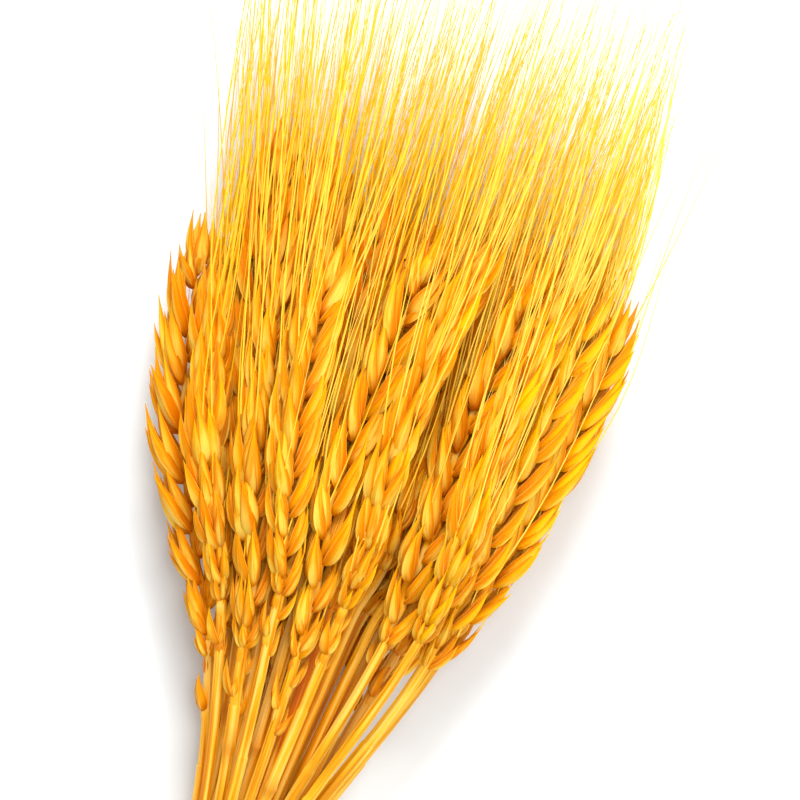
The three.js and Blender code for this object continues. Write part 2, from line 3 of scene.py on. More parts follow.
import bpy
import numpy as np
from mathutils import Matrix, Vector


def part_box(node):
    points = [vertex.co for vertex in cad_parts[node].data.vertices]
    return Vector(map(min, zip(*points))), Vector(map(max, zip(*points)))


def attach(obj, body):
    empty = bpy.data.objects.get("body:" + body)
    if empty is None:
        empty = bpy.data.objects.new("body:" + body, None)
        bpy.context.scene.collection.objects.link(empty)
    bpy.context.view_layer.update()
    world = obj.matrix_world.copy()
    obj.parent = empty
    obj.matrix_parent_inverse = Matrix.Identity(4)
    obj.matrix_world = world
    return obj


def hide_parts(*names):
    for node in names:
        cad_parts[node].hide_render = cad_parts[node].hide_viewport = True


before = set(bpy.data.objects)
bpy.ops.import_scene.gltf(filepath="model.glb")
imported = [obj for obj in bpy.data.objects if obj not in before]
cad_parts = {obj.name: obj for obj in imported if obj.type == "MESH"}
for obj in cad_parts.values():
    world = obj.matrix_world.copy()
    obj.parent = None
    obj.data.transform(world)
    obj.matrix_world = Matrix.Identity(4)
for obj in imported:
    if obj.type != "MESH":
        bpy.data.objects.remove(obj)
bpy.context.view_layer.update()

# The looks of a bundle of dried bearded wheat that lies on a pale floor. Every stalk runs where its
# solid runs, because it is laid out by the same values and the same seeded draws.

# ---- the bundle's dimensions
# Millimetres. +Y runs along the stems towards the ears and is measured from the middle of the tie.

CUT_END = -182.0  # mean Y of the cut stem ends
CUT_END_SPREAD = 4.0
STEM_RADIUS = 1.1
STEM_SPACE = 1.38  # radius that one stem keeps to itself
STEM_INTO_EAR = 3.0
STEM_ROD = STEM_RADIUS + 0.1  # radius of the rods that stand for a stem

EAR_SPACE = 4.4
EAR_ENDS = 0.1  # share of the ear's length over which its space grows and ends
LOWEST = 0.58  # share of its space under a stalk that lies on the surface
CORE = (1.1, 1.2)  # half the width of an ear's core, across its rows and between them
ROW_SPIKELETS = 8
TIP_FLORET = 9.0  # length of the floret that ends an ear
SPIKELET_LENGTH = 15.0
SPIKELET_SPREAD = (0.93, 1.05)
SPIKELET_AT_END = (0.66, 0.66)  # size of an ear's first and last against the largest
SPIKELET_GROWTH = (1.7, 1.36)  # how fast the size grows from there, over the ear's length
HALF_SPIKELET = 0.75  # size of one with only half a joint to itself
FLORET_RADIUS = 1.5
SPLAY = (7.0, 18.0)  # degrees between a spikelet and the ear's axis, pressed in and free
FAN = (0.1, 0.24)  # a beak's distance from the middle over the length, likewise
SPLAY_TRIALS = 7
BEAK_UP = 0.9
# The husks are a little longer and closer than the plain solid of their spikelet.
HUSKS_LENGTH = 17.0
HUSKS_AT_END = (0.66, 0.84)
HUSKS_GROWTH = (1.2, 0.8)
HUSKS_SPLAY = (4.0, 10.5)
HUSKS_FAN = (0.09, 0.17)
BARE_FAN = (0.1, 0.14)  # on an ear that has lost awns

AWNS = 9  # on one ear of the solid model
AWN_LENGTH = (48.0, 70.0)
AWN_SPACE = 0.55
AWN_LEAN = (-1.0, -18.0)  # degrees to the right of the bundle's axis, from its middle to its left
AWN_LEAN_REACH = 45.0
AWN_RISE = 0.5  # how much of the ear's own rise its awns have
AWN_TILT = (0.0, 7.0)  # degrees
AWN_LEFT = (-46.0, -0.35)  # their outline from above: x at the ears' tips, and slope
AWN_RIGHT = (38.0, -0.12)
AWN_OUTLINE_Y = 140.0
AWN_OUTLINE_AT = (0.6, 1.0)  # the places on an awn that stay inside
AWN_TRIALS = 60
AWN_SWING = (2.0, 6.0)  # radians that a trial may reach, at first and later
CLEARANCE = 0.45

AXIS_AT_CUT = 6.4  # height of the bundle's axis over the surface
AXIS_AT_TIE = 15.0
AXIS_CLIMB = 0.05  # rise for each millimetre from the tie to the ears
FLARE_BELOW_TIE = 1.3  # width at the cut ends over that at the tie

TIE_WIDTH = 13.0  # half the width inside the solid's band
TIE_HEIGHT = 9.7
TIE_MARGIN = 2.1  # from a stem's centre line to the band
TIE_THICKNESS = 1.3
TIE_LENGTH = 7.0
KNOT = (4.2, 3.6, 1.9)  # half its width, half its length and its height
TIE_SHARE = (0.22, 0.25)  # a stem's place in the tie over its ear's x and lift
FOOT_LIFT = 0.7  # lift of an ear's foot over its own

# Ears of the upper row: foot, middle and tip as (x, y), lift over the axis, turn in degrees, awns.
UPPER_EARS = [
    ((-20.1, 50.2), (-41.0, 91.2), (-52.9, 136.8), 3, 8, 0),
    ((-20.7, 62.8), (-35.3, 95.6), (-46.2, 129.0), 12, 75, 3),
    ((-14.1, 55.3), (-24.0, 94.2), (-33.8, 136.0), 15, 40, 9),
    ((-11.3, 68.9), (-19.0, 99.5), (-24.9, 142.2), 22, 25, 9),
    ((-2.7, 57.3), (-6.3, 95.2), (-4.2, 150.6), 17, 4, 9),
    ((3.1, 70.9), (2.1, 108.3), (5.8, 152.1), 25, 85, 9),
    ((13.6, 66.5), (13.3, 104.9), (17.8, 152.1), 15, 12, 9),
    ((20.3, 69.3), (21.1, 103.1), (24.4, 148.1), 23, 72, 9),
    ((23.3, 64.3), (27.4, 107.3), (30.8, 151.2), 13, 40, 9),
    ((25.8, 67.0), (34.0, 109.1), (36.2, 150.3), 4, 15, 9),
]

# Lower rows: ears, the first and last ear's x, the lift, and the reach of the tips.
LOWER_ROWS = [
    (10, (-42, 34), 6, (150, 162)),
    (10, (-44, 34), -4, (144, 160)),
    (9, (-40, 30), -13, (136, 152)),
]
LOWER_EAR_LENGTH = (74.0, 86.0)
LOWER_EAR_FOOT = 0.4  # x of its foot over that of its tip
LOWER_EAR_MIDDLE = 0.78
ROW_JITTER = (0.8, 4.0)  # aside, in ears, and up

LEVEL_STEP = 10.0
FIRST_LEVEL = -200.0
LEVELS = 40
SETTLE_PASSES = 500
PACKING_PASSES = 60  # the last ones, which leave no overlap
PUSH = (0.5, 0.8)
SPRING_BACK = 0.005
UPPER_GIVE = 0.25
LOWER_GIVE = 1.0
DIRECTION_STEP = 2.0  # either way, to find a stalk's direction

SEEDS = {"rows": 11, "cut": 200, "spikelets": 500, "awns": 900, "looks": 3000, "tie": 77}

BUNDLE_AXIS = np.array([0.0, 1.0, AXIS_CLIMB]) / math.hypot(1.0, AXIS_CLIMB)
LEVEL_Y = FIRST_LEVEL + LEVEL_STEP * np.arange(LEVELS)

# ---- small helpers


def seeded(seed):
    """A seeded stream of numbers from 0 to 1 (the minimal standard generator)."""
    state = (seed * 7919 + 12345) % 2147483647

    def draw():
        nonlocal state
        state = (state * 16807) % 2147483647
        return state / 2147483647

    return draw


def between(ends, share):
    return ends[0] + (ends[1] - ends[0]) * share


def varied(tone, spread, draw):
    """A tone near another one, from 0 to 1."""
    return min(max(tone + spread * (draw() - 0.5), 0), 1)


def unit(v):
    return v / np.linalg.norm(v, axis=-1, keepdims=True)


def turned(v, axis, angle):
    """v turned about a unit axis by an angle in radians."""
    along = np.sum(v * axis, axis=-1, keepdims=True) * axis
    return v * math.cos(angle) + np.cross(axis, v) * math.sin(angle) + along * (1 - math.cos(angle))


def axis_height(y):
    """Height of the bundle's axis over the surface at a given Y."""
    below = AXIS_AT_TIE + (AXIS_AT_CUT - AXIS_AT_TIE) * (y / CUT_END)
    return np.where(y < 0, below, AXIS_AT_TIE + AXIS_CLIMB * y)


def through(place, value, y):
    """A smooth curve through values at rising places, straight beyond the first and the last."""
    order = np.arange(len(place))
    before, after = np.maximum(order - 1, 0), np.minimum(order + 1, order[-1])
    slope = (value[after] - value[before]) / (place[after] - place[before])
    i = np.clip(np.searchsorted(place, y) - 1, 0, len(place) - 2)
    span = place[i + 1] - place[i]
    t = np.clip((y - place[i]) / span, 0, 1)
    s = 1 - t
    curve = value[i] * s * s * (1 + 2 * t) + value[i + 1] * t * t * (1 + 2 * s)
    curve = curve + slope[i] * span * t * s * s - slope[i + 1] * span * s * t * t
    return curve + slope[0] * np.minimum(y - place[0], 0) + slope[-1] * np.maximum(y - place[-1], 0)


# ---- where each stalk runs


class Stalk:
    """One stalk's course: its X, Z and space at every level of Y, and where its ear is."""

    def __init__(self, index, foot, middle, tip, lift, turn, awns, give):
        self.index = index
        self.awns = awns
        self.give = give
        self.foot_y = foot[1]
        self.tip_y = tip[1]
        self.turn = math.radians(turn)
        draw = seeded(SEEDS["cut"] + index)
        self.cut_y = CUT_END + CUT_END_SPREAD * (2 * draw() - 1)
        across = [(y, x) for x, y in (foot, middle, tip)]
        lifts = [(foot[1], lift * FOOT_LIFT), (middle[1], lift), (tip[1], lift)]
        self.wish_x = self.course(across, middle[0] * TIE_SHARE[0])
        self.wish_z = axis_height(LEVEL_Y) + self.course(lifts, lift * TIE_SHARE[1])
        share = (LEVEL_Y - self.foot_y) / (self.tip_y - self.foot_y)
        rise = np.clip((share + EAR_ENDS) / (2 * EAR_ENDS), 0, 1)
        fall = np.clip((1 + EAR_ENDS - share) / (3 * EAR_ENDS), 0, 1)
        space = between((STEM_SPACE, EAR_SPACE), np.minimum(rise, fall))
        past = (LEVEL_Y < self.cut_y - LEVEL_STEP) | (share > 1 + EAR_ENDS)
        self.space = np.where(past, 0, space)

    def course(self, ear, in_tie):
        knots = [(self.cut_y, in_tie * FLARE_BELOW_TIE), (0, in_tie), *ear]
        return through(*np.array(knots, float).T, LEVEL_Y)

    def point(self, y):
        """Points of the centre line."""
        return np.stack([through(LEVEL_Y, self.x, y), y, through(LEVEL_Y, self.z, y)], axis=-1)

    def directions(self, y):
        """Along the stalk, across its two rows of spikelets, and between them."""
        along = unit(self.point(y + DIRECTION_STEP) - self.point(y - DIRECTION_STEP))
        level = unit(np.cross(along, [0.0, 0.0, 1.0]))
        rows = turned(level, along, self.turn)
        return along, rows, np.cross(along, rows)


def plan_stalks():
    plans = [(*ear, UPPER_GIVE) for ear in UPPER_EARS]
    draw = seeded(SEEDS["rows"])
    for ears, ends, lift, tips in LOWER_ROWS:
        for i in range(ears):
            tip_x = between(ends, (i + ROW_JITTER[0] * (draw() - 0.5)) / (ears - 1))
            tip_y = between(tips, draw())
            foot_y = tip_y - between(LOWER_EAR_LENGTH, draw())
            height = lift + ROW_JITTER[1] * (draw() - 0.5)
            turn = 180 * draw()
            foot = (tip_x * LOWER_EAR_FOOT, foot_y)
            middle = (tip_x * LOWER_EAR_MIDDLE, (foot_y + tip_y) / 2)
            plans.append((foot, middle, (tip_x, tip_y), height, turn, AWNS, LOWER_GIVE))
    return [Stalk(i, *plan) for i, plan in enumerate(plans)]


def settle(stalks):
    """Moves the stalks apart at each level until none is in another's space."""
    wish = np.array([[s.wish_x, s.wish_z] for s in stalks])
    place = wish.copy()
    space = np.array([s.space for s in stalks])
    need = space[:, None] + space[None]
    meet = (space[:, None] > 0) & (space[None] > 0) & ~np.eye(len(stalks), dtype=bool)[:, :, None]
    give = np.array([s.give for s in stalks])
    share = (give[:, None] / (give[:, None] + give[None]))[:, :, None]
    for number in range(SETTLE_PASSES + PACKING_PASSES):
        bending = number < SETTLE_PASSES
        gap = place[None] - place[:, None]
        apart = np.hypot(gap[:, :, 0], gap[:, :, 1]) + 1e-9
        push = np.where(meet & (apart < need), (need - apart) / apart, 0)
        push *= share * PUSH[0 if bending else 1]
        place -= (push[:, :, None] * gap).sum(1)
        if bending:
            place = even_out(place, wish, give)
        keep_inside(place, space)
    for stalk, (x, z) in zip(stalks, place):
        stalk.x, stalk.z = x, z


def even_out(place, wish, give):
    """Shares every shift from a stalk's own course with the next levels."""
    shift = place - wish
    before = np.concatenate([shift[..., :1], shift[..., :-1]], axis=-1)
    after = np.concatenate([shift[..., 1:], shift[..., -1:]], axis=-1)
    kept = 1 - SPRING_BACK / give[:, None, None]
    return wish + kept * (0.5 * shift + 0.25 * (before + after))


def keep_inside(place, space):
    """Keeps every stalk over the surface, and inside the tie."""
    middle = axis_height(LEVEL_Y)
    tied = np.abs(LEVEL_Y) <= LEVEL_STEP
    across = place[:, 0] / (TIE_WIDTH - TIE_MARGIN)
    up = (place[:, 1] - middle) / (TIE_HEIGHT - TIE_MARGIN)
    out = np.where(tied, np.maximum(np.hypot(across, up), 1), 1)
    place[:, 0] /= out
    place[:, 1] = middle + (place[:, 1] - middle) / out
    place[:, 1] = np.maximum(place[:, 1], np.where(space > 0, space * LOWEST, STEM_SPACE))


# ---- clearances between stalks


def segment_gaps(a0, a1, b0, b1):
    """Least distances between the segment a0-a1 and each segment b0-b1."""
    u, v, w = a1 - a0, b1 - b0, a0 - b0
    uu, uv, vv = u @ u, v @ u, (v * v).sum(1)
    uw, vw = w @ u, (v * w).sum(1)
    fall = uu * vv - uv * uv
    skew = fall > 1e-9
    s = np.where(skew, np.clip((uv * vw - vv * uw) / np.where(skew, fall, 1), 0, 1), 0)
    t = np.clip((uv * s + vw) / vv, 0, 1)
    s = np.clip((uv * t - uw) / uu, 0, 1)
    return np.linalg.norm(w + s[:, None] * u - t[:, None] * v, axis=1)


class Rods:
    """Rods that stand for what is in place: their ends, radius and stalk."""

    def __init__(self):
        self.rods = np.zeros((8192, 8))
        self.count = 0

    def add(self, start, end, radius, owner):
        self.rods[self.count] = (*start, *end, radius, owner)
        self.count += 1

    def leave(self, start, end, radius, owner):
        """Whether a rod keeps clear of the rods of every other stalk."""
        rods = self.rods[:self.count]
        starts, ends = rods[:, :3], rods[:, 3:6]
        need = radius + rods[:, 6] + CLEARANCE
        near = (np.minimum(starts, ends) - need[:, None] <= np.maximum(start, end)).all(1)
        near &= (np.maximum(starts, ends) + need[:, None] >= np.minimum(start, end)).all(1)
        near &= rods[:, 7] != owner
        if not near.any():
            return True
        return bool((segment_gaps(start, end, starts[near], ends[near]) >= need[near]).all())


def add_core_rods(stalk, taken):
    count = math.ceil((stalk.tip_y - stalk.cut_y) / LEVEL_STEP)
    ys = between((stalk.cut_y, stalk.tip_y), np.arange(count + 1) / count)
    for start, end in zip(ys, ys[1:]):
        radius = STEM_ROD if end < stalk.foot_y else math.hypot(*CORE)
        taken.add(stalk.point(start), stalk.point(end), radius, stalk.index)


# ---- spikelets and awns in place


class Spikelet:
    """One spikelet's place, directions and size, and how far its neighbours let it open."""

    def __init__(self, stalk, side, joint, next_joint, draw):
        pitch = (stalk.tip_y - TIP_FLORET - stalk.foot_y) / ROW_SPIKELETS
        y = stalk.foot_y + joint * pitch
        self.share = joint / ROW_SPIKELETS
        self.along, rows, face = stalk.directions(y)
        self.out = rows * side
        self.face = face * side
        self.root = stalk.point(y) + self.out * CORE[0]
        self.spread = between(SPIKELET_SPREAD, draw())
        self.small = next_joint - joint < 1
        self.length = SPIKELET_LENGTH * self.size(SPIKELET_AT_END, SPIKELET_GROWTH)
        self.awns = [None, None]

    def size(self, at_end, growth):
        """Its size against the largest of its ear."""
        ends = zip(at_end, growth, (self.share, 1 - self.share))
        size = min(1, *(least + fast * way for least, fast, way in ends))
        return size * self.spread * (HALF_SPIKELET if self.small else 1)

    def open(self, share, splay=SPLAY, fans=FAN):
        """Opens the spikelet by a share from pressed in to free."""
        self.opened = share
        angle = math.radians(between(splay, share))
        self.fan = between(fans, share)
        self.axis = self.along * math.cos(angle) + self.out * math.sin(angle)
        self.away = self.out * math.cos(angle) - self.along * math.sin(angle)
        middle = self.root + self.axis * self.length * BEAK_UP
        self.beaks = [middle + self.face * hand * self.fan * self.length for hand in (-1, 1)]
        self.radius = FLORET_RADIUS * self.length / SPIKELET_LENGTH

    def dress(self, bare):
        """Takes its husks' size and opening. bare: whether its awns are lost."""
        self.length = HUSKS_LENGTH * self.size(HUSKS_AT_END, HUSKS_GROWTH)
        self.open(self.opened, HUSKS_SPLAY, BARE_FAN if bare else HUSKS_FAN)

    def fit(self, stalk, taken):
        """Opens as far as the neighbours and the surface allow."""
        for trial in range(SPLAY_TRIALS, -1, -1):
            self.open(trial / SPLAY_TRIALS)
            if all(
                beak[2] > self.radius / 4
                and taken.leave(self.root, beak, self.radius, stalk.index)
                for beak in self.beaks
            ):
                return


def row_joints(side):
    """Joints between a row's spikelets, in spikelets from the ear's foot."""
    if side > 0:
        return list(range(ROW_SPIKELETS + 1))
    return [0, *(i + 0.5 for i in range(ROW_SPIKELETS)), ROW_SPIKELETS]


def plan_row(stalk, side, taken):
    draw = seeded(SEEDS["spikelets"] + 2 * stalk.index + (side > 0))
    joints = row_joints(side)
    row = [Spikelet(stalk, side, a, b, draw) for a, b in zip(joints, joints[1:])]
    for spikelet in row:
        spikelet.fit(stalk, taken)
    return row


def awn_axis(stalk):
    """The way that an ear's awns run: straight on, and to the left on the bundle's left."""
    share = min(max(-stalk.point(stalk.tip_y)[0] / AWN_LEAN_REACH, 0), 1)
    lean = math.radians(between(AWN_LEAN, share * share))
    ear_axis = stalk.directions(stalk.tip_y - TIP_FLORET)[0]
    rise = between((BUNDLE_AXIS[2], ear_axis[2]), AWN_RISE)
    return unit(np.array([math.sin(lean), math.cos(lean), rise]))


def in_outline(start, end):
    """Whether an awn stays inside the outline that the awns have from above."""
    for share in AWN_OUTLINE_AT:
        x, y, _ = start + (end - start) * share
        left, right = (edge[0] + edge[1] * (y - AWN_OUTLINE_Y) for edge in (AWN_LEFT, AWN_RIGHT))
        if not left < x < right:
            return False
    return True


def awn_end(stalk, base, outward, tilts, lengths, draw, taken, space, inside=False):
    """Where an awn from a beak ends, clear of other stalks and the surface, or None."""
    along = awn_axis(stalk)
    outward = unit(outward - along * (outward @ along))
    for trial in range(AWN_TRIALS):
        tilt = math.radians(between(tilts, draw()))
        swing = (draw() - 0.5) * AWN_SWING[0 if trial < AWN_TRIALS / 3 else 1]
        aside = turned(outward, along, swing)
        aim = along * math.cos(tilt) + aside * math.sin(tilt)
        end = base + aim * between(lengths, draw())
        if end[2] < AWN_SPACE or (inside and not in_outline(base, end)):
            continue
        if taken.leave(base, end, space, stalk.index):
            return end
    return None


def plan_awns(stalk, taken):
    """The awns that the solid model has."""
    draw = seeded(SEEDS["awns"] + stalk.index)
    for i in range(stalk.awns):
        row = stalk.rows[i % 2]
        place = math.floor(between((1, len(row) - 1), i / (AWNS - 1)) + 0.5)
        hand = 0 if draw() < 0.5 else 1
        spikelet = row[place]
        base = spikelet.beaks[hand]
        outward = unit(base - spikelet.root)
        end = awn_end(stalk, base, outward, AWN_TILT, AWN_LENGTH, draw, taken, AWN_SPACE)
        if end is not None:
            spikelet.awns[hand] = end
            taken.add(base, end, AWN_SPACE, stalk.index)


def lay_out():
    stalks = plan_stalks()
    settle(stalks)
    taken = Rods()
    for stalk in stalks:
        add_core_rods(stalk, taken)
    for stalk in stalks:
        stalk.rows = [plan_row(stalk, side, taken) for side in (1, -1)]
        for spikelet in stalk.rows[0] + stalk.rows[1]:
            for beak in spikelet.beaks:
                taken.add(spikelet.root, beak, spikelet.radius, stalk.index)
    for stalk in stalks:
        plan_awns(stalk, taken)
    return stalks, taken


# ---- mesh building

SHARP_ANGLE = math.radians(38)


class Shape:
    """Parts of one piece, gathered as corners and faces with their surface values.

    along: 0 to 1 from a part's base to its tip. across: 0 in the middle of its back and 1 at its
    margins, on a husk's left side below 0. tone: how deep its orange is, 0 to 1, on the stalks with
    painted shade in it. mark: 1 at a joint.
    """

    VALUES = ("along", "across", "tone", "mark")

    def __init__(self):
        self.corners = []
        self.quads = []
        self.slots = []
        self.values = {name: [] for name in self.VALUES}
        self.count = 0

    def add_tubes(self, grid, slot, along, across, tone, mark=0.0):
        """grid: (tubes, rings, corners on a ring, 3), closed at both ends.

        along and mark have a value for each ring, across for each corner and tone for each tube.
        """
        tubes, rings, around = grid.shape[:3]
        along, mark = (np.reshape(value, (1, -1, 1)) for value in (along, mark))
        tone = np.reshape(tone, (-1, 1, 1))
        ring = np.arange(around)
        step = np.stack([ring, np.roll(ring, -1)], axis=1)
        rows = np.arange(rings - 1)[:, None, None] * around
        quads = np.concatenate([step + rows, (step + rows + around)[..., ::-1]], axis=-1)
        quads = quads.reshape(-1, 4)
        starts = self.count + np.arange(tubes)[:, None, None] * rings * around
        self.quads.append((quads[None] + starts).reshape(-1, 4))
        self.slots.append(np.full(len(quads) * tubes, slot))
        self.corners.append(grid.reshape(-1, 3))
        for name, value in zip(self.VALUES, (along, across, tone, mark)):
            self.values[name].append(np.broadcast_to(value, grid.shape[:3]).reshape(-1))
        self.count += tubes * rings * around

    def to_object(self, name, materials, shift):
        mesh = bpy.data.meshes.new(name)
        corners = (np.concatenate(self.corners) + shift) / 1000
        corners[:, 2] = np.maximum(corners[:, 2], 0)
        quads = np.concatenate(self.quads)
        mesh.vertices.add(len(corners))
        mesh.vertices.foreach_set("co", corners.astype(np.float32).ravel())
        mesh.loops.add(quads.size)
        mesh.loops.foreach_set("vertex_index", quads.astype(np.int32).ravel())
        mesh.polygons.add(len(quads))
        mesh.polygons.foreach_set("loop_start", np.arange(0, quads.size, 4, dtype=np.int32))
        mesh.polygons.foreach_set("material_index", np.concatenate(self.slots).astype(np.int32))
        for key, parts in self.values.items():
            attribute = mesh.attributes.new(key, "FLOAT", "POINT")
            attribute.data.foreach_set("value", np.concatenate(parts).astype(np.float32))
        mesh.update(calc_edges=True)
        mesh.validate()
        mesh.shade_smooth()
        mesh.set_sharp_from_angle(angle=SHARP_ANGLE)
        for material in materials:
            mesh.materials.append(material)
        piece = bpy.data.objects.new(name, mesh)
        bpy.context.scene.collection.objects.link(piece)
        return piece


def sweep(points, radii, around, ridges=1.0):
    """Rings round a line of points. ridges: the radius at each corner of a ring over radii."""
    ahead = unit(np.gradient(points, axis=0))
    side = unit(np.cross(ahead, [0.0, 0.0, 1.0]))
    up = np.cross(side, ahead)
    angle = (np.arange(around) * 2 * math.pi / around)[:, None]
    ring = side[:, None] * np.cos(angle) + up[:, None] * np.sin(angle)
    return points[:, None] + ring * (radii[:, None] * ridges)[..., None]


# ---- chaff

# A husk's outline at places over its length: half-width and depth of its back over the largest,
# and how far its keel stands out over its depth.
HUSK_PLACES = np.array([0.0, 0.06, 0.15, 0.27, 0.4, 0.54, 0.67, 0.78, 0.88, 1.0])
LEMMA = (
    (0.2, 0.58, 0.86, 1.0, 0.97, 0.78, 0.52, 0.3, 0.15, 0.05),
    (0.2, 0.58, 0.86, 1.0, 0.97, 0.8, 0.56, 0.35, 0.18, 0.06),
    0.2,
)
GLUME = (
    (0.24, 0.62, 0.88, 1.0, 0.96, 0.82, 0.62, 0.42, 0.2, 0.03),
    (0.24, 0.64, 0.88, 1.0, 0.96, 0.82, 0.64, 0.44, 0.22, 0.03),
    0.3,
)
# Its section: corners over the back, then three inside.
HUSK_ANGLES = np.radians([-90, -64, -40, -18, 0, 18, 40, 64, 90])
HUSK_INSIDE = np.array([(0.72, -0.2), (0.0, -0.3), (-0.72, -0.2)])
INSIDE_ACROSS = (1.6, 1.6, -1.6)
KEEL_CORNER = 4
HUSK_BULGE = 0.05  # how far its middle bows out, over its length
BELLY_SHIFT = (0.84, 1.2)  # moves a husk's widest place up or down
HUSK_BEND = 0.045  # how far its middle may stand to one side
MARGIN_WAVE = 0.07
MARGIN_WAVES = 1.7
KEEL_ASIDE = 0.35


def husk_section(keel):
    """Corners (across, out) of a husk's section, and their across values."""
    back = np.stack([np.sin(HUSK_ANGLES), np.cos(HUSK_ANGLES)], axis=1)
    back[KEEL_CORNER, 1] += keel
    corners = np.concatenate([back, HUSK_INSIDE])
    across = np.concatenate([HUSK_ANGLES / (math.pi / 2), INSIDE_ACROSS])
    return corners, across


def husks(bases, tips, backs, widths, depths, shapes, kind):
    """Closed boat shapes from bases to tips, of the kind LEMMA or GLUME.

    shapes: three shares from 0 to 1 for each husk, which set its belly, its bend and its margins.
    """
    *outline, keel = kind
    line = tips - bases
    length = np.linalg.norm(line, axis=1, keepdims=True)
    ahead = line / length
    back = unit(backs - ahead * np.sum(backs * ahead, axis=1, keepdims=True))
    side = np.cross(ahead, back)
    base, line, back, side, length = (v[:, None, None] for v in (bases, line, back, side, length))
    section, across = husk_section(keel)
    place = HUSK_PLACES[None, :, None, None]
    arch = 4 * place * (1 - place) * length
    bend = (HUSK_BEND * (2 * shapes[:, 1] - 1))[:, None, None, None]
    centre = base + line * place + (back * HUSK_BULGE + side * bend) * arch
    powers = between(BELLY_SHIFT, shapes[:, :1])
    wide, deep = (np.interp(HUSK_PLACES[None] ** powers, HUSK_PLACES, row) for row in outline)
    phase = 2 * math.pi * (shapes[:, 2:] + HUSK_PLACES[None] * MARGIN_WAVES)
    wide = wide * (1 + MARGIN_WAVE * np.sin(phase))
    half = (widths[:, None] * wide)[:, :, None, None]
    raised = (depths[:, None] * deep)[:, :, None, None]
    aside = np.zeros((len(bases), 1, len(section), 1))
    aside[:, 0, KEEL_CORNER, 0] = KEEL_ASIDE * (2 * shapes[:, 0] - 1)
    grid = centre + side * half * (section[None, None, :, :1] + aside)
    return grid + back * raised * section[None, None, :, 1:], across


def add_husks(shape, rows, kind):
    """rows: (base, tip, back, width, depth, tone, shapes) of each husk."""
    *places, tones, shapes = (np.array(column) for column in zip(*rows))
    grid, across = husks(*places, shapes, kind)
    shape.add_tubes(grid, CHAFF, HUSK_PLACES, across, tones)


# The husks of a spikelet, over its length: where the root and the tip are (up, aside, away from the
# ear) and how much the tip varies, the spikelet's fan in the tip's place, whether the tip is further
# off a bare ear, degrees that the back is turned aside and their spread, half-width and depth.
HUSKS = {
    "lemma": ((0.02, 0.03, 0.01), None, None, 0, 0, (56, 16), (0.108, 0.1)),
    "glume": (
        (-0.05, 0.05, 0.02), (0.76, 0.07, 0.12), (0.08, 0.04, 0.04), 0.8, 1, (50, 14), (0.104, 0.092),
    ),
    "outer": (
        (-0.08, -0.02, 0.02), (0.66, 0.03, 0.16), (0.1, 0.03, 0.03), 0, 1, (8, 14), (0.1, 0.08),
    ),
    "inner": (
        (0.04, 0.02, 0.06), (1.0, 0.0, 0.09), (0.07, 0, 0.04), 0.35, 1, (14, 18), (0.105, 0.092),
    ),
    "third": (
        (0.16, 0.04, 0.0), (1.08, 0.0, -0.02), (0.07, 0, 0.03), 0.6, 0, (30, 16), (0.098, 0.085),
    ),
}
LEMMA_PAST_BEAK = 0.6
LEMMA_VARY = (0.9, 0.5, 0.4)  # upwards, away and aside
BARE_SPREAD = 1.55  # how much further the husk tips of an ear without awns stand off it
# The spikelet at an ear's tip. Places are up and aside, over its length.
TIP_SIZE = (0.135, 0.115)  # half-width and depth of its husks
TIP_ROOT = 3.0  # how far below the floret its root is
TIP_ROOT_ASIDE = 0.4
TIP_OUTER = ((0.97, 1.05), (0.2, 0.26))
TIP_INNER = ((1.0, 1.08), (0.12, 0.2))
TIP_INNER_ROOT = 0.14
TIP_GLUME = (0.74, 0.22)
TIP_GLUME_SPREAD = 0.1
TIP_SPREAD = 1.5
SIZE_SPREAD = 0.12
TONE_SPREAD = 0.8
ROOT_DEPTH = 0.9  # how far inside the ear's axis a spikelet is rooted


def husk_row(base, tip, back, length, size, tone, draw):
    wide, deep = (length * value * (1 + SIZE_SPREAD * (2 * draw() - 1)) for value in size)
    shade = varied(tone, TONE_SPREAD, draw)
    return base, tip, back, wide, deep, shade, (draw(), draw(), draw())


def spikelet_husks(spikelet, draw, tone, spread):
    """Glumes and lemmas of one spikelet, and (base, outward) of the beaks that carry awns."""
    axis, away, face = spikelet.axis, spikelet.away, spikelet.face
    root = spikelet.root - spikelet.out * ROOT_DEPTH

    def vary(size):
        return size * (2 * draw() - 1) if size else 0.0

    def place(up, aside, raised):
        return root + (axis * up + face * aside + away * raised) * spikelet.length

    def husk(name, hand, tip=None):
        start, end, ways, fan, off, slants, size = HUSKS[name]
        if tip is None:
            up, aside, raised = (x + vary(way) for x, way in zip(end, ways))
            raised *= 1 + (spread - 1) * off
            tip = place(up, hand * (aside + fan * spikelet.fan), raised)
        slant = math.radians(slants[0] + vary(slants[1]))
        back = away * math.cos(slant) + face * hand * math.sin(slant)
        base = place(start[0], hand * start[1], start[2])
        return husk_row(base, tip, back, spikelet.length, size, tone, draw)

    glumes, lemmas, beaks = [], [], []
    for hand, beak in zip((-1, 1), spikelet.beaks):
        tip = beak + axis * LEMMA_PAST_BEAK
        tip = tip + sum(way * vary(size) for way, size in zip((axis, away, face), LEMMA_VARY))
        lemmas.append(husk("lemma", hand, tip))
        beaks.append((tip, unit(tip - spikelet.root)))
        glumes.append(husk("glume", hand))
    hand = 1 if draw() < 0.5 else -1
    glumes.append(husk("outer", hand))
    if not spikelet.small:
        lemmas.append(husk("inner", hand))
        tip = lemmas[-1][1]
        beaks.append((tip, unit(tip - root)))
        lemmas.append(husk("third", -hand))
    return glumes, lemmas, beaks


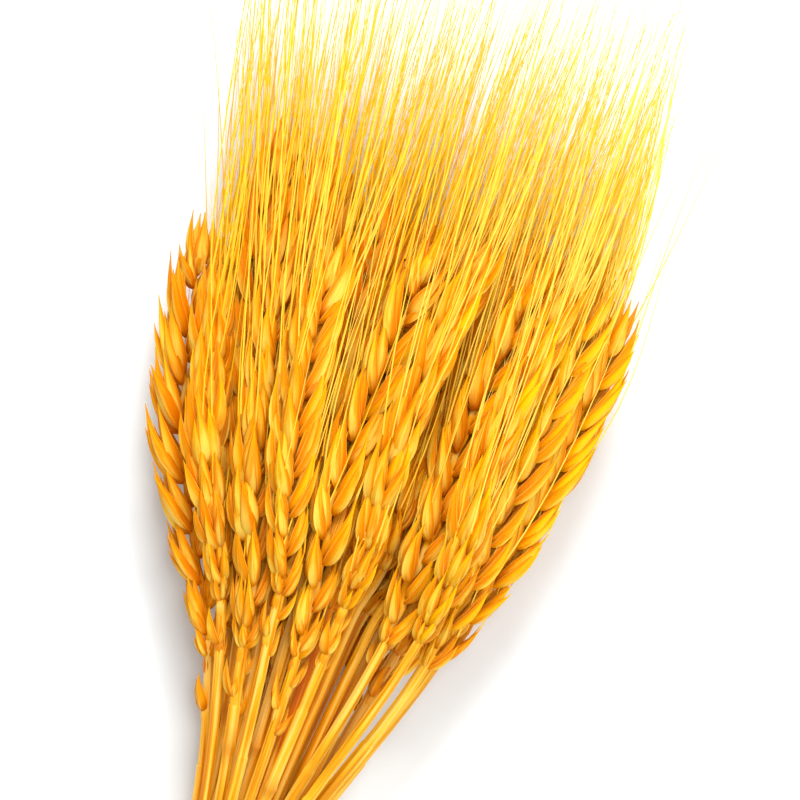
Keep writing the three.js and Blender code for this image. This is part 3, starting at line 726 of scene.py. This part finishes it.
def tip_husks(stalk, draw, tone):
    """The spikelet that ends an ear, turned a quarter to the others."""
    along, rows, face = stalk.directions(stalk.tip_y - TIP_FLORET)
    root = stalk.point(stalk.tip_y - TIP_FLORET - TIP_ROOT)
    length = np.linalg.norm(stalk.point(stalk.tip_y) - root) + 1

    def husk(start, end, back):
        return husk_row(start, end, back, length, TIP_SIZE, tone, draw)

    def lemma_end(ends, way):
        up, aside = (between(pair, draw()) for pair in ends)
        return root + (along * up + way * aside) * length

    glumes, lemmas = [], []
    for way in (-face, face):
        end = lemma_end(TIP_OUTER, way) + rows * (draw() - 0.5) * TIP_SPREAD
        back = way + rows * (draw() - 0.5)
        start = root + way * TIP_ROOT_ASIDE
        lemmas.append(husk(start, end, back))
        up, aside = TIP_GLUME
        across = rows * TIP_GLUME_SPREAD * (draw() - 0.5)
        glumes.append(husk(start, root + (along * up + way * aside + across) * length, back))
    for way in (-rows, rows):
        end = lemma_end(TIP_INNER, way)
        lemmas.append(husk(root + along * TIP_INNER_ROOT * length, end, way))
    return glumes, lemmas, [(lemma[1], unit(lemma[1] - root)) for lemma in lemmas]


# ---- awns

AWN_PLACES = np.array([0.0, 0.06, 0.2, 0.36, 0.54, 0.72, 0.88, 1.0])
AWN_RADIUS = (0.23, 0.06)
AWN_TAPER = 0.8
AWN_POINT = 0.3  # radius at the very tip over that
AWN_SIDES = 3
AWN_SIZE = (0.85, 1.15)
AWN_SUNK = 0.6
AWN_LEAVING = 1.6  # its own direction over the husk's, where it leaves
AWN_TONE_SPREAD = 0.6
FINE_AWN_TILT = (0.0, 11.0)
FINE_AWN_KEPT = 0.92  # share of the further beaks that still have their awn
AWN_BOW = 0.07  # at most, over its length
FINE_AWN_SPACE = -0.25  # it may lie against a husk
FINE_AWN_LENGTH = (38.0, 76.0)
SHORT_BELOW = 0.2  # share of the ear from its foot where awns are shorter
SHORT_AWN = 0.45  # length of the first ones there over the others'
SHORTER = 0.1  # the most that an awn is shortened by chance


def awn_points(base, end, outward, draw):
    """A line that leaves the beak as the husk points and then runs nearly straight."""
    line = end - base
    length = np.linalg.norm(line)
    lean = unit(outward + AWN_LEAVING * line / length) * length
    bow = np.array([draw() - 0.5, 0.0, draw() - 0.5]) * length * AWN_BOW
    s = AWN_PLACES[:, None]
    start = base - outward * AWN_SUNK
    leaving = s * (1 - s) ** 2 * (lean - line)
    return start + (end - start) * s + leaving + bow * 4 * s * (1 - s)


def add_awns(shape, rows):
    """rows: (points, size, tone) of each awn."""
    radii = between(AWN_RADIUS, AWN_PLACES ** AWN_TAPER)
    radii[-1] *= AWN_POINT
    grids = np.array([sweep(points, size * radii, AWN_SIDES) for points, size, _ in rows])
    shape.add_tubes(grids, AWN, AWN_PLACES, 0.0, [tone for _, _, tone in rows])


def stalk_awns(stalk, awns, draw, tone, taken):
    """An awn for every beak: where the solid model has one it stays in its place.

    awns: (beak, outward, share of the ear, the solid awn's end or None).
    """
    rows = []
    for base, outward, share, end in awns:
        if end is None:
            if draw() > FINE_AWN_KEPT:
                continue
            size = min(1, between((SHORT_AWN, 1), share / SHORT_BELOW)) * (1 - SHORTER * draw())
            lengths = [size * length for length in FINE_AWN_LENGTH]
            tilts, space = FINE_AWN_TILT, FINE_AWN_SPACE
            end = awn_end(stalk, base, outward, tilts, lengths, draw, taken, space, inside=True)
        if end is None:
            continue
        points = awn_points(base, end, outward, draw)
        size = between(AWN_SIZE, draw())
        rows.append((points, size, varied(tone, AWN_TONE_SPREAD, draw)))
    return rows


# ---- stems

STEM_SIDES = 16
STEM_RIDGE = 0.11  # depth of its ridges over its radius, and how uneven they are
RIDGE_SPREAD = 0.8
STEM_RING_STEP = 3.2
STEM_SIZE = (0.98, 1.2)  # stem radius over the solid's
NODE_BULGE = 0.28  # of a joint of the straw, over its radius
NODE_REACH = 1.3
NODE_PLACES = [(-150.0, -90.0), (-20.0, 42.0)]  # Y of the lower and the upper one
NODE_RINGS = (-1.6, -0.8, 0.0, 0.8, 1.6)  # over that reach
SHEATHED = 0.55  # share of the stems with a leaf's dry sheath from the upper joint on
SHEATH = 0.16  # how much thicker the straw is there
SHEATH_LEAST = 8.0  # its least length, and the least room above that
SHEATH_ROOM = 4.0
SHEATH_BARE = 20.0  # what it leaves bare below the ear
SHEATH_EDGE = 0.15
NECK = (30.0, 0.92)  # over this length below its ear a stem narrows to this share
RACHIS_START = 2.0  # how far below the lowest spikelet
RACHIS_RADIUS = (0.98, 0.45)
RACHIS_RINGS = 4  # for each spikelet
RACHIS_WAVE = 0.3
RACHIS_SWELLING = 0.2
RACHIS_SIDES = 8
RACHIS_MARK = 0.25
RACHIS_BARE = 0.6  # share of the stalks whose lowest spikelets are only small empty husks
BARE_SPIKELETS = 3
SCALE_LENGTH = (4.5, 9.0)
SCALE_SIZE = (0.16, 0.13)
SCALE_ROOT = 0.3  # from the axis
SCALE_WAY = (0.94, (0.1, 0.35), 0.2)  # up, out and aside
HOLLOW = 0.62  # radius of the straw's bore over its own
HOLLOW_TAPER = 0.9
HOLLOW_DEPTH = 6.0
HOLLOW_MARKS = (1.0, 1.0, 0.3)  # how brown it is from its end to its mouth


def stem_features(stalk, draw):
    """Y of the straw's joints, and where a sheath ends."""
    nodes = [between(ends, draw()) for ends in NODE_PLACES]
    room = max(stalk.foot_y - nodes[1] - SHEATH_BARE, SHEATH_ROOM)
    sheath_top = nodes[1] + SHEATH_LEAST + draw() * room
    return nodes, sheath_top if draw() < SHEATHED else None


def stem_radius(y, nodes, sheath_top, size):
    radius = STEM_RADIUS * size * np.ones_like(y)
    for node in nodes:
        radius *= 1 + NODE_BULGE * np.exp(-(((y - node) / NODE_REACH) ** 2))
    if sheath_top is not None:
        inside = (y > nodes[1]) & (y < sheath_top)
        radius *= np.where(inside, 1 + SHEATH, 1)
    return radius


def add_stem(shape, stalk, draw, tone):
    nodes, sheath_top = stem_features(stalk, draw)
    size = between(STEM_SIZE, draw())
    top = stalk.foot_y + STEM_INTO_EAR
    ys = list(np.linspace(stalk.cut_y, top, math.ceil((top - stalk.cut_y) / STEM_RING_STEP)))
    ys += [node + NODE_REACH * step for node in nodes for step in NODE_RINGS]
    if sheath_top is not None:
        ys += [sheath_top - SHEATH_EDGE, sheath_top + SHEATH_EDGE]
    ys = np.array(sorted(ys))
    points = stalk.point(ys)
    radii = stem_radius(ys, nodes, sheath_top, size)
    radii *= np.interp(ys, [stalk.foot_y - NECK[0], stalk.foot_y], [1, NECK[1]])
    uneven = [(i % 2) - 0.5 + RIDGE_SPREAD * (draw() - 0.5) for i in range(STEM_SIDES)]
    rings = sweep(points, radii, STEM_SIDES, 1 + STEM_RIDGE * np.array(uneven))
    bore = (rings[0] - points[0]) * HOLLOW
    depth = np.array([0, HOLLOW_DEPTH, 0])
    hollow = points[0] + [0 * bore + depth, bore * HOLLOW_TAPER + depth, bore]
    share = (ys - stalk.cut_y) / (top - stalk.cut_y)
    mark = sum(np.exp(-(((ys - node) / (2 * NODE_REACH)) ** 2)) for node in nodes)
    along = [0, 0, 0, *share]
    marks = [*HOLLOW_MARKS, *np.clip(mark, 0, 1)]
    around = np.abs(np.arange(STEM_SIDES) * 2 / STEM_SIDES - 1)
    shape.add_tubes(np.concatenate([hollow, rings])[None], STRAW, along, around, tone, marks)


def add_rachis(shape, stalk, draw, tone):
    """The ear's own axis, swollen under each spikelet and bent from side to side.

    On some stalks it goes on below the ear with small empty husks, which this gives back.
    """
    pitch = (stalk.tip_y - TIP_FLORET - stalk.foot_y) / ROW_SPIKELETS / 2
    bare = BARE_SPIKELETS if draw() < RACHIS_BARE else 0
    steps = (ROW_SPIKELETS * 2 + bare) * RACHIS_RINGS
    ys = stalk.foot_y - RACHIS_START + (np.arange(steps + 1) / RACHIS_RINGS - bare) * pitch
    wave = np.cos(math.pi * np.arange(steps + 1) / RACHIS_RINGS)
    points = stalk.point(ys) + stalk.directions(ys)[1] * RACHIS_WAVE * wave[:, None]
    radii = between(RACHIS_RADIUS, np.linspace(0, 1, steps + 1)) * (1 + RACHIS_SWELLING * abs(wave))
    rings = sweep(points, radii, RACHIS_SIDES)
    rings[0] = points[0]
    rings[-1] = points[-1]
    shape.add_tubes(rings[None], STRAW, np.linspace(0, 1, steps + 1), 0.0, tone, RACHIS_MARK)
    scales = []
    for i in range(bare):
        along, row, face = stalk.directions(ys[RACHIS_RINGS * i])
        out = row * (-1) ** i
        for hand in (-1, 1):
            length = between(SCALE_LENGTH, draw())
            start = points[RACHIS_RINGS * i] + out * SCALE_ROOT
            up, outs, aside = SCALE_WAY
            way = along * up + out * between(outs, draw()) + face * hand * aside
            back = out + face * hand
            scale = husk_row(start, start + way * length, back, length, SCALE_SIZE, tone, draw)
            scales.append(scale)
    return scales


# ---- materials


TONE_APART = 37.0  # how far apart in the noise two tones are


class Nodes:
    """A short way to write a material's node tree."""

    def __init__(self, name):
        self.material = bpy.data.materials.new(name)
        self.material.use_nodes = True
        self.tree = self.material.node_tree
        self.shader = self.tree.nodes["Principled BSDF"]

    def add(self, kind, inputs=None, **settings):
        node = self.tree.nodes.new(kind)
        for key, value in settings.items():
            setattr(node, key, value)
        self.fill(node, inputs or {})
        return node

    def fill(self, node, inputs):
        for key, value in inputs.items():
            if isinstance(value, bpy.types.NodeSocket):
                self.tree.links.new(value, node.inputs[key])
            else:
                node.inputs[key].default_value = value

    def value(self, name):
        return self.add("ShaderNodeAttribute", attribute_name=name).outputs["Fac"]

    def math(self, operation, a, b=0.0):
        return self.add("ShaderNodeMath", {0: a, 1: b}, operation=operation).outputs[0]

    def times(self, a, b):
        return self.math("MULTIPLY", a, b)

    def plus(self, a, b):
        return self.math("ADD", a, b)

    def ramp(self, fac, stops):
        """stops: (place, colour), a single number for a grey."""
        node = self.add("ShaderNodeValToRGB", {"Fac": fac})
        elements = node.color_ramp.elements
        while len(elements) < len(stops):
            elements.new(1.0)
        for element, (position, colour) in zip(elements, stops):
            element.position = position
            element.color = (*(colour if isinstance(colour, tuple) else [colour] * 3), 1)
        return node.outputs["Color"]

    def mix(self, fac, a, b, blend="MIX"):
        a, b = ((*value, 1) if isinstance(value, tuple) else value for value in (a, b))
        inputs = {0: fac, 6: a, 7: b}
        return self.add("ShaderNodeMix", inputs, data_type="RGBA", blend_type=blend).outputs[2]

    def noise(self, scale, detail, stretch=(1, 1, 1)):
        place = self.add("ShaderNodeTexCoord").outputs["Object"]
        mapped = self.add("ShaderNodeMapping", {"Vector": place, "Scale": stretch})
        return self.noise_at(mapped.outputs[0], scale, detail)

    def noise_at(self, place, scale, detail):
        inputs = {"Vector": place, "Scale": scale, "Detail": detail}
        return self.add("ShaderNodeTexNoise", inputs).outputs["Fac"]

    def grain(self, scales, detail):
        """Noise drawn out along each husk or stem, another on every one."""
        values = (self.value(name) for name in ("across", "along", "tone"))
        parts = map(self.times, values, (*scales, TONE_APART))
        place = self.add("ShaderNodeCombineXYZ", dict(enumerate(parts))).outputs[0]
        return self.noise_at(place, 1.0, detail)

    def rise(self, fac, start, end):
        """0 up to start and 1 from end on."""
        return self.ramp(fac, [(start, 0.0), (end, 1.0)])

    def darken(self, colour, fac, shade):
        return self.mix(fac, colour, shade, "MULTIPLY")

    def stain(self, colour, mask, strength, stain):
        return self.mix(self.times(mask, strength), colour, stain)

    def bump(self, height, strength, distance):
        inputs = {"Height": height, "Strength": strength, "Distance": distance}
        return self.add("ShaderNodeBump", inputs).outputs["Normal"]

    def finish(self, colour, roughness, normal, others):
        inputs = {"Base Color": colour, "Roughness": roughness, "Normal": normal, **others}
        self.fill(self.shader, inputs)
        return self.material


# Thin dry husks let warm light through.
THROUGH_LIGHT = {
    "Subsurface Weight": 0.08,
    "Subsurface Radius": (1.0, 0.3, 0.01),
    "Subsurface Scale": 0.0016,
}
SPECULAR = "Specular IOR Level"


def chaff_material():
    """Husks: a pale dry belly and fine nerves; painted shade in dark orange at the root, where they
    sit deep in the ear, and towards the margins and inner face, where they overlap; a painted
    highlight on the very margin.
    """
    n = Nodes("chaff")
    along, across, tone = n.value("along"), n.value("across"), n.value("tone")
    streak = n.grain((3.0, 1.4), 3.0)
    fibre = n.grain((15.0, 2.2), 2.0)
    from_middle = n.math("ABSOLUTE", across)
    # Painted shade: dark orange at a husk's root, deep in the ear, growing paler towards its tip.
    length = n.ramp(along, [
        (0.0, (0.55, 0.11, 0.0)), (0.14, (0.80, 0.27, 0.0)), (0.45, (0.86, 0.38, 0.0)),
        (0.75, (0.90, 0.39, 0.0)), (1.0, (0.97, 0.58, 0.002)),
    ])
    # Deeper, darker orange for a higher tone, which carries painted shade on the lower rows and the
    # bundle's left.
    shade = n.ramp(tone, [
        (0.0, (0.96, 0.56, 0.0)), (0.45, (0.87, 0.37, 0.0)), (1.0, (0.68, 0.17, 0.0)),
    ])
    colour = n.mix(0.5, length, shade)
    slanted = n.plus(across, n.times(n.math("SUBTRACT", tone, 0.5), 0.8))
    belly = n.ramp(n.math("ABSOLUTE", slanted), [(0.1, 1.0), (0.75, 0.0)])
    zone = n.ramp(along, [(0.06, 0.0), (0.2, 1.0), (0.5, 0.8), (0.8, 0.1)])
    patch = n.ramp(streak, [(0.34, 0.1), (0.54, 1.0)])
    pale = n.times(n.times(belly, zone), patch)
    colour = n.stain(colour, pale, 0.95, (0.91, 0.62, 0.09))
    colour = n.darken(colour, 0.7, n.ramp(streak, [(0.36, (0.86, 0.62, 0.3)), (0.5, 1.0)]))
    colour = n.darken(colour, 0.6, n.ramp(fibre, [(0.3, (0.9, 0.76, 0.5)), (0.5, 1.0)]))
    # Painted shade: darker orange towards the margins and over the inner face, where husks overlap.
    colour = n.stain(colour, n.rise(from_middle, 0.45, 0.85), 0.8, (0.68, 0.15, 0.0))
    # Painted highlight: pale yellow on the very margin, and over the inner face too.
    colour = n.stain(colour, n.rise(from_middle, 0.9, 1.0), 0.5, (0.97, 0.62, 0.06))
    normal = n.bump(n.plus(n.times(streak, 0.6), fibre), 0.5, 0.0002)
    roughness = n.ramp(fibre, [(0.0, 0.4), (1.0, 0.6)])
    return n.finish(colour, roughness, normal, {SPECULAR: 0.05, **THROUGH_LIGHT})


def straw_material():
    """Straw: pale yellow with long streaks, brown at its joints and in spots, deeper orange by its
    tone, which carries painted shade on the lower rows and the bundle's left.
    """
    n = Nodes("straw")
    streak = n.grain((4.2, 9.0), 3.0)
    fibre = n.grain((22.0, 9.0), 2.0)
    light = n.ramp(streak, [
        (0.34, (0.46, 0.09, 0.0)), (0.45, (0.78, 0.28, 0.0)),
        (0.52, (0.90, 0.50, 0.02)), (0.62, (0.95, 0.70, 0.16)),
    ])
    # Deeper, darker orange for a higher tone, which carries painted shade on the lower rows and the
    # bundle's left.
    shade = n.ramp(n.value("tone"), [
        (0.0, (0.94, 0.56, 0.02)), (0.5, (0.86, 0.37, 0.0)), (1.0, (0.66, 0.16, 0.0)),
    ])
    colour = n.mix(0.4, light, shade)
    spots = n.rise(n.noise(60, 3.0, (1, 0.3, 1)), 0.5, 0.7)
    colour = n.stain(colour, spots, 0.55, (0.76, 0.26, 0.001))
    colour = n.stain(colour, n.value("mark"), 0.75, (0.62, 0.2, 0.001))
    normal = n.bump(n.plus(fibre, streak), 0.7, 0.0002)
    roughness = n.ramp(fibre, [(0.0, 0.32), (1.0, 0.52)])
    return n.finish(colour, roughness, normal, {SPECULAR: 0.2})


def awn_material():
    """Awns: orange where they leave the husk, which is painted shade among the husks, pale gold
    further out and duller, darker gold towards the tip.
    """
    n = Nodes("awn")
    # Painted shade: orange near the base, where the awns start among the husks; darker gold at the
    # very tip.
    length = n.ramp(n.value("along"), [
        (0.0, (0.94, 0.43, 0.0)), (0.3, (0.96, 0.60, 0.003)),
        (0.6, (0.90, 0.60, 0.02)), (1.0, (0.66, 0.45, 0.09)),
    ])
    # Deeper orange for a higher tone, which carries painted shade on the lower rows and the bundle's
    # left.
    shade = n.ramp(n.value("tone"), [(0.0, (0.98, 0.80, 0.16)), (1.0, (0.94, 0.46, 0.0))])
    barbs = n.noise(1.0, 2.0, (4000, 900, 4000))
    barring = n.ramp(barbs, [(0.0, 0.93), (1.0, 1.0)])
    colour = n.darken(n.mix(0.5, length, shade), 1.0, barring)
    normal = n.bump(barbs, 0.3, 0.0001)
    roughness = n.ramp(barbs, [(0.0, 0.3), (1.0, 0.45)])
    return n.finish(colour, roughness, normal, {SPECULAR: 0.2, **THROUGH_LIGHT})


def raffia_material():
    """Raffia: matt beige strips with fine lines along them."""
    n = Nodes("raffia")
    fibres = n.math("SINE", n.times(n.value("across"), 34.0))
    grain = n.noise(700, 4.0)
    light = n.ramp(grain, [
        (0.25, (0.42, 0.24, 0.09)), (0.5, (0.60, 0.40, 0.18)), (0.75, (0.74, 0.55, 0.30)),
    ])
    shade = n.ramp(n.value("tone"), [(0.0, (0.70, 0.50, 0.26)), (1.0, (0.50, 0.31, 0.12))])
    lines = n.ramp(fibres, [(0.0, 0.75), (1.0, 1.0)])
    colour = n.darken(n.mix(0.45, light, shade), 0.6, lines)
    normal = n.bump(n.plus(fibres, grain), 0.5, 0.00015)
    roughness = n.ramp(grain, [(0.0, 0.55), (1.0, 0.8)])
    return n.finish(colour, roughness, normal, {"Sheen Weight": 0.15, "Sheen Roughness": 0.5})


# ---- stalks and tie as pieces

STALK_MATERIALS = [straw_material(), chaff_material(), awn_material()]
STRAW, CHAFF, AWN = range(3)
UPPER_PAINTED_SHADE = (0.95, 0.0)  # painted shade: from a darker orange on the bundle's left to pale on its right, with a part that is drawn
UPPER_TONE_DRAWN = 0.4
LOWER_PAINTED_SHADE = (0.6, 1.0)  # painted shade: a deeper, darker orange for the lower rows, which lie under the upper ears


def stalk_piece(stalk, taken, shift):
    draw = seeded(SEEDS["looks"] + stalk.index)
    # Painted shade: a darker orange tone drawn in the lower rows' range, which the upper ears also
    # take as their drawn part.
    tone = between(LOWER_PAINTED_SHADE, draw())
    # Painted shade: the upper ears' tone runs from darker orange on the bundle's left to pale on its
    # right, partly drawn at random.
    if stalk.index < len(UPPER_EARS):
        place = stalk.index / len(UPPER_EARS)
        tone = between(UPPER_PAINTED_SHADE, between((place, tone), UPPER_TONE_DRAWN))
    shape = Shape()
    add_stem(shape, stalk, draw, tone)
    glumes = add_rachis(shape, stalk, draw, tone)
    bare = stalk.awns < AWNS
    parts = []
    for spikelet in stalk.rows[0] + stalk.rows[1]:
        spikelet.dress(bare)
        chaff = spikelet_husks(spikelet, draw, tone, BARE_SPREAD if bare else 1.0)
        parts.append((*chaff, spikelet.share, spikelet.awns + [None]))
    chaff = tip_husks(stalk, draw, tone)
    parts.append((*chaff, 1.0, [None] * len(chaff[2])))
    lemmas, awns = [], []
    for more_glumes, more_lemmas, beaks, share, ends in parts:
        glumes += more_glumes
        lemmas += more_lemmas
        awns += [(*beak, share, end) for beak, end in zip(beaks, ends)]
    add_husks(shape, glumes, GLUME)
    add_husks(shape, lemmas, LEMMA)
    add_awns(shape, stalk_awns(stalk, awns, draw, tone, taken))
    piece = shape.to_object(f"wheat_{stalk.index + 1:02d}", STALK_MATERIALS, shift)
    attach(piece, "root")
    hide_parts(f"stalk_{stalk.index + 1:02d}")


RIBBON_TURNS = 6
# A strip's section over half its width and over its thickness.
RIBBON_SECTION = np.array([
    (-1.0, 0.0), (-0.7, 0.42), (-0.25, 0.3), (0.2, 0.5), (0.7, 0.36),
    (1.0, 0.0), (0.6, -0.42), (0.0, -0.34), (-0.6, -0.42),
])
RIBBON_WIDTH = 1.15  # half of it
RIBBON_THICKNESS = 0.55
RIBBON_RIPPLES = 9
RIBBON_CRINKLE = 0.1
TIE_SNUG = 1.15  # from a stem's centre line to the inside of the raffia
TURN_STEPS = 72
TURN_REACH = 1.02
TURN_START = (0.35, 0.65)  # in half turns
TURN_LIFT = 0.42  # a turn's distance from the stems, and the next one's over it
TURN_LIFT_SPREAD = 0.1
TURN_SLANT = 0.55
TURN_WAVE = 0.12
# The knot's strips: heading in degrees, place across, and rise over the knot's height.
KNOT_LOOPS = [(-28, -1.1, 0.72), (4, 0.0, 1.15), (31, 1.1, 0.85)]
LOOP_STEPS = 40
LOOP_ENDS = (-0.12, 1.12)  # in half turns
LOOP_REACH = 0.93  # over the knot's length
LOOP_SUNK = 0.4
LOOP_WIDTH = 1.2
LOOP_CRINKLE = 0.08
LOOP_FACING = (0, 0, 0.4)  # turns its ends a little up


def ribbon_rings(points, outs, width, crinkle, draw):
    """A crinkled strip along points, flat against what outs point away from."""
    ahead = unit(np.gradient(points, axis=0))
    side = unit(np.cross(ahead, outs))
    phase = 2 * math.pi * draw()
    ripple = 1 + crinkle * np.sin(np.linspace(0, RIBBON_RIPPLES * math.pi, len(points)) + phase)
    across, raised = (RIBBON_SECTION * [width, RIBBON_THICKNESS]).T[..., None]
    across = side[:, None] * across * ripple[:, None, None]
    return points[:, None] + across + np.cross(side, ahead)[:, None] * raised


def tight_round(stems, angle, lift):
    """X and Z of points on a line drawn tight round the stems, lift away from their sides."""
    outward = np.stack([np.cos(angle), np.sin(angle)], axis=1)
    outermost = stems[np.argmax(outward @ stems.T, axis=1)]
    return outermost + outward * (TIE_SNUG + lift)[:, None]


def tie_turn(stems, number, draw):
    """One turn of raffia round the stems, a little aslant."""
    start = between(TURN_START, draw())
    angle = np.linspace(0, 2 * math.pi * TURN_REACH, TURN_STEPS) + math.pi * start
    y = between((-0.5, 0.5), (number + 0.5) / RIBBON_TURNS) * (TIE_LENGTH - 2 * RIBBON_WIDTH)
    slant = TURN_SLANT * (draw() - 0.5)
    lift = TURN_LIFT * (1 + number % 2) + TURN_LIFT_SPREAD * draw()
    wave = TURN_WAVE * np.sin(3 * angle + 6 * draw())
    x, z = tight_round(stems, angle, lift + wave).T
    points = np.stack([x, y + slant * np.sin(angle + draw()), z], axis=1)
    outs = np.stack([np.cos(angle), 0 * angle, np.sin(angle)], axis=1)
    return ribbon_rings(points, outs, RIBBON_WIDTH, RIBBON_CRINKLE, draw)


def knot_loop(top, heading, aside, rise, draw):
    """A strip over the turns, from one edge of the band to the other and under again."""
    angle = math.pi * np.linspace(*LOOP_ENDS, LOOP_STEPS)
    heading = math.radians(heading)
    way = np.array([math.sin(heading), math.cos(heading), 0])
    run, up = np.cos(angle)[:, None] * way, np.sin(angle)[:, None] * [0, 0, 1]
    middle = np.array([aside, 0, top - LOOP_SUNK])
    points = middle + run * KNOT[1] * LOOP_REACH + up * KNOT[2] * rise
    return ribbon_rings(points, unit(run + up + LOOP_FACING), LOOP_WIDTH, LOOP_CRINKLE, draw)


def tie_piece(stalks, shift):
    draw = seeded(SEEDS["tie"])
    stems = np.array([stalk.point(0.0) for stalk in stalks])[:, [0, 2]]
    angle = np.linspace(0, math.pi, TURN_STEPS + 1)
    x, z = tight_round(stems, angle, 0 * angle).T
    top = np.max(z[np.abs(x) < KNOT[0]]) + TIE_THICKNESS
    strips = [tie_turn(stems, i, draw) for i in range(RIBBON_TURNS)]
    strips += [knot_loop(top, *loop, draw) for loop in KNOT_LOOPS]
    shape = Shape()
    across = np.linspace(-1, 1, len(RIBBON_SECTION))
    for rings in strips:
        rings[0] = rings[0].mean(0)
        rings[-1] = rings[-1].mean(0)
        shape.add_tubes(rings[None], 0, np.linspace(0, 1, len(rings)), across, draw())
    piece = shape.to_object("raffia_tie", [raffia_material()], shift)
    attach(piece, "root")
    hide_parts("tie")


def frame_shift():
    """From the layout's millimetres to the frame: the tie is at X 0, Y 0 in the layout."""
    low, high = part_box("tie")
    lowest = AXIS_AT_TIE - TIE_HEIGHT - TIE_THICKNESS
    middle = (low + high) * 500
    return np.array([middle.x, middle.y, low.z * 1000 - lowest])


# ---- stage, light and camera

PICTURE_RIGHT = (0.940, 0.342)  # of the camera's picture, in X and Y
PICTURE_CENTRE = (-0.7, 114.9, 50.0)  # in the layout's millimetres
PICTURE_WIDTH = 163.3  # millimetres at that height
CAMERA_DISTANCE = 750.0
SENSOR = 36.0
FLOOR_RADIUS = 9.0  # from here on in metres
# Area lights: name, place, what they aim at, size, power in watts.
LIGHTS = [
    ("key", (-0.08, 0.52, 0.52), (0, 0.09, 0.03), 0.22, 4.3),
    ("top", (0.06, 0.2, 1.25), (0, 0.09, 0.03), 0.25, 3.2),
    ("fill", (0.8, -0.3, 1.0), (0, 0.05, 0.03), 1.0, 7),
]
WORLD_STRENGTH = 0.6


def make_floor():
    bpy.ops.mesh.primitive_circle_add(vertices=96, radius=FLOOR_RADIUS, fill_type="NGON")
    floor = bpy.context.object
    floor.name = "floor"
    n = Nodes("floor")
    cloud = n.ramp(n.noise(0.8, 2.0), [(0.0, (0.80, 0.845, 0.86)), (1.0, (0.83, 0.87, 0.885))])
    rough = n.ramp(n.noise(2.0, 2.0), [(0.0, 0.8), (1.0, 0.9)])
    flat = n.bump(n.noise(3.0, 1.0), 0.02, 0.001)
    floor.data.materials.append(n.finish(cloud, rough, flat, {}))


def make_lights():
    for name, place, aim, size, power in LIGHTS:
        data = bpy.data.lights.new(name, "AREA")
        data.size = size
        data.energy = power
        light = bpy.data.objects.new(name, data)
        light.location = place
        light.rotation_euler = (Vector(aim) - Vector(place)).to_track_quat("-Z", "Y").to_euler()
        light.visible_camera = False
        bpy.context.scene.collection.objects.link(light)
    world = bpy.data.worlds.new("studio")
    world.use_nodes = True
    background = world.node_tree.nodes["Background"]
    background.inputs["Color"].default_value = (1, 1, 1, 1)
    background.inputs["Strength"].default_value = WORLD_STRENGTH
    bpy.context.scene.world = world


def make_camera(shift):
    data = bpy.data.cameras.new("camera")
    data.sensor_width = SENSOR
    data.lens = SENSOR * CAMERA_DISTANCE / PICTURE_WIDTH
    camera = bpy.data.objects.new("camera", data)
    camera.location = (np.array(PICTURE_CENTRE) + shift + [0, 0, CAMERA_DISTANCE]) / 1000
    camera.rotation_euler = (0, 0, math.atan2(PICTURE_RIGHT[1], PICTURE_RIGHT[0]))
    bpy.context.scene.collection.objects.link(camera)
    bpy.context.scene.camera = camera


# ---- the scene

shift = frame_shift()
stalks, taken = lay_out()
for stalk in stalks:
    stalk_piece(stalk, taken, shift)
tie_piece(stalks, shift)
make_floor()
make_lights()
make_camera(shift)
bpy.context.scene.view_settings.view_transform = "Standard"
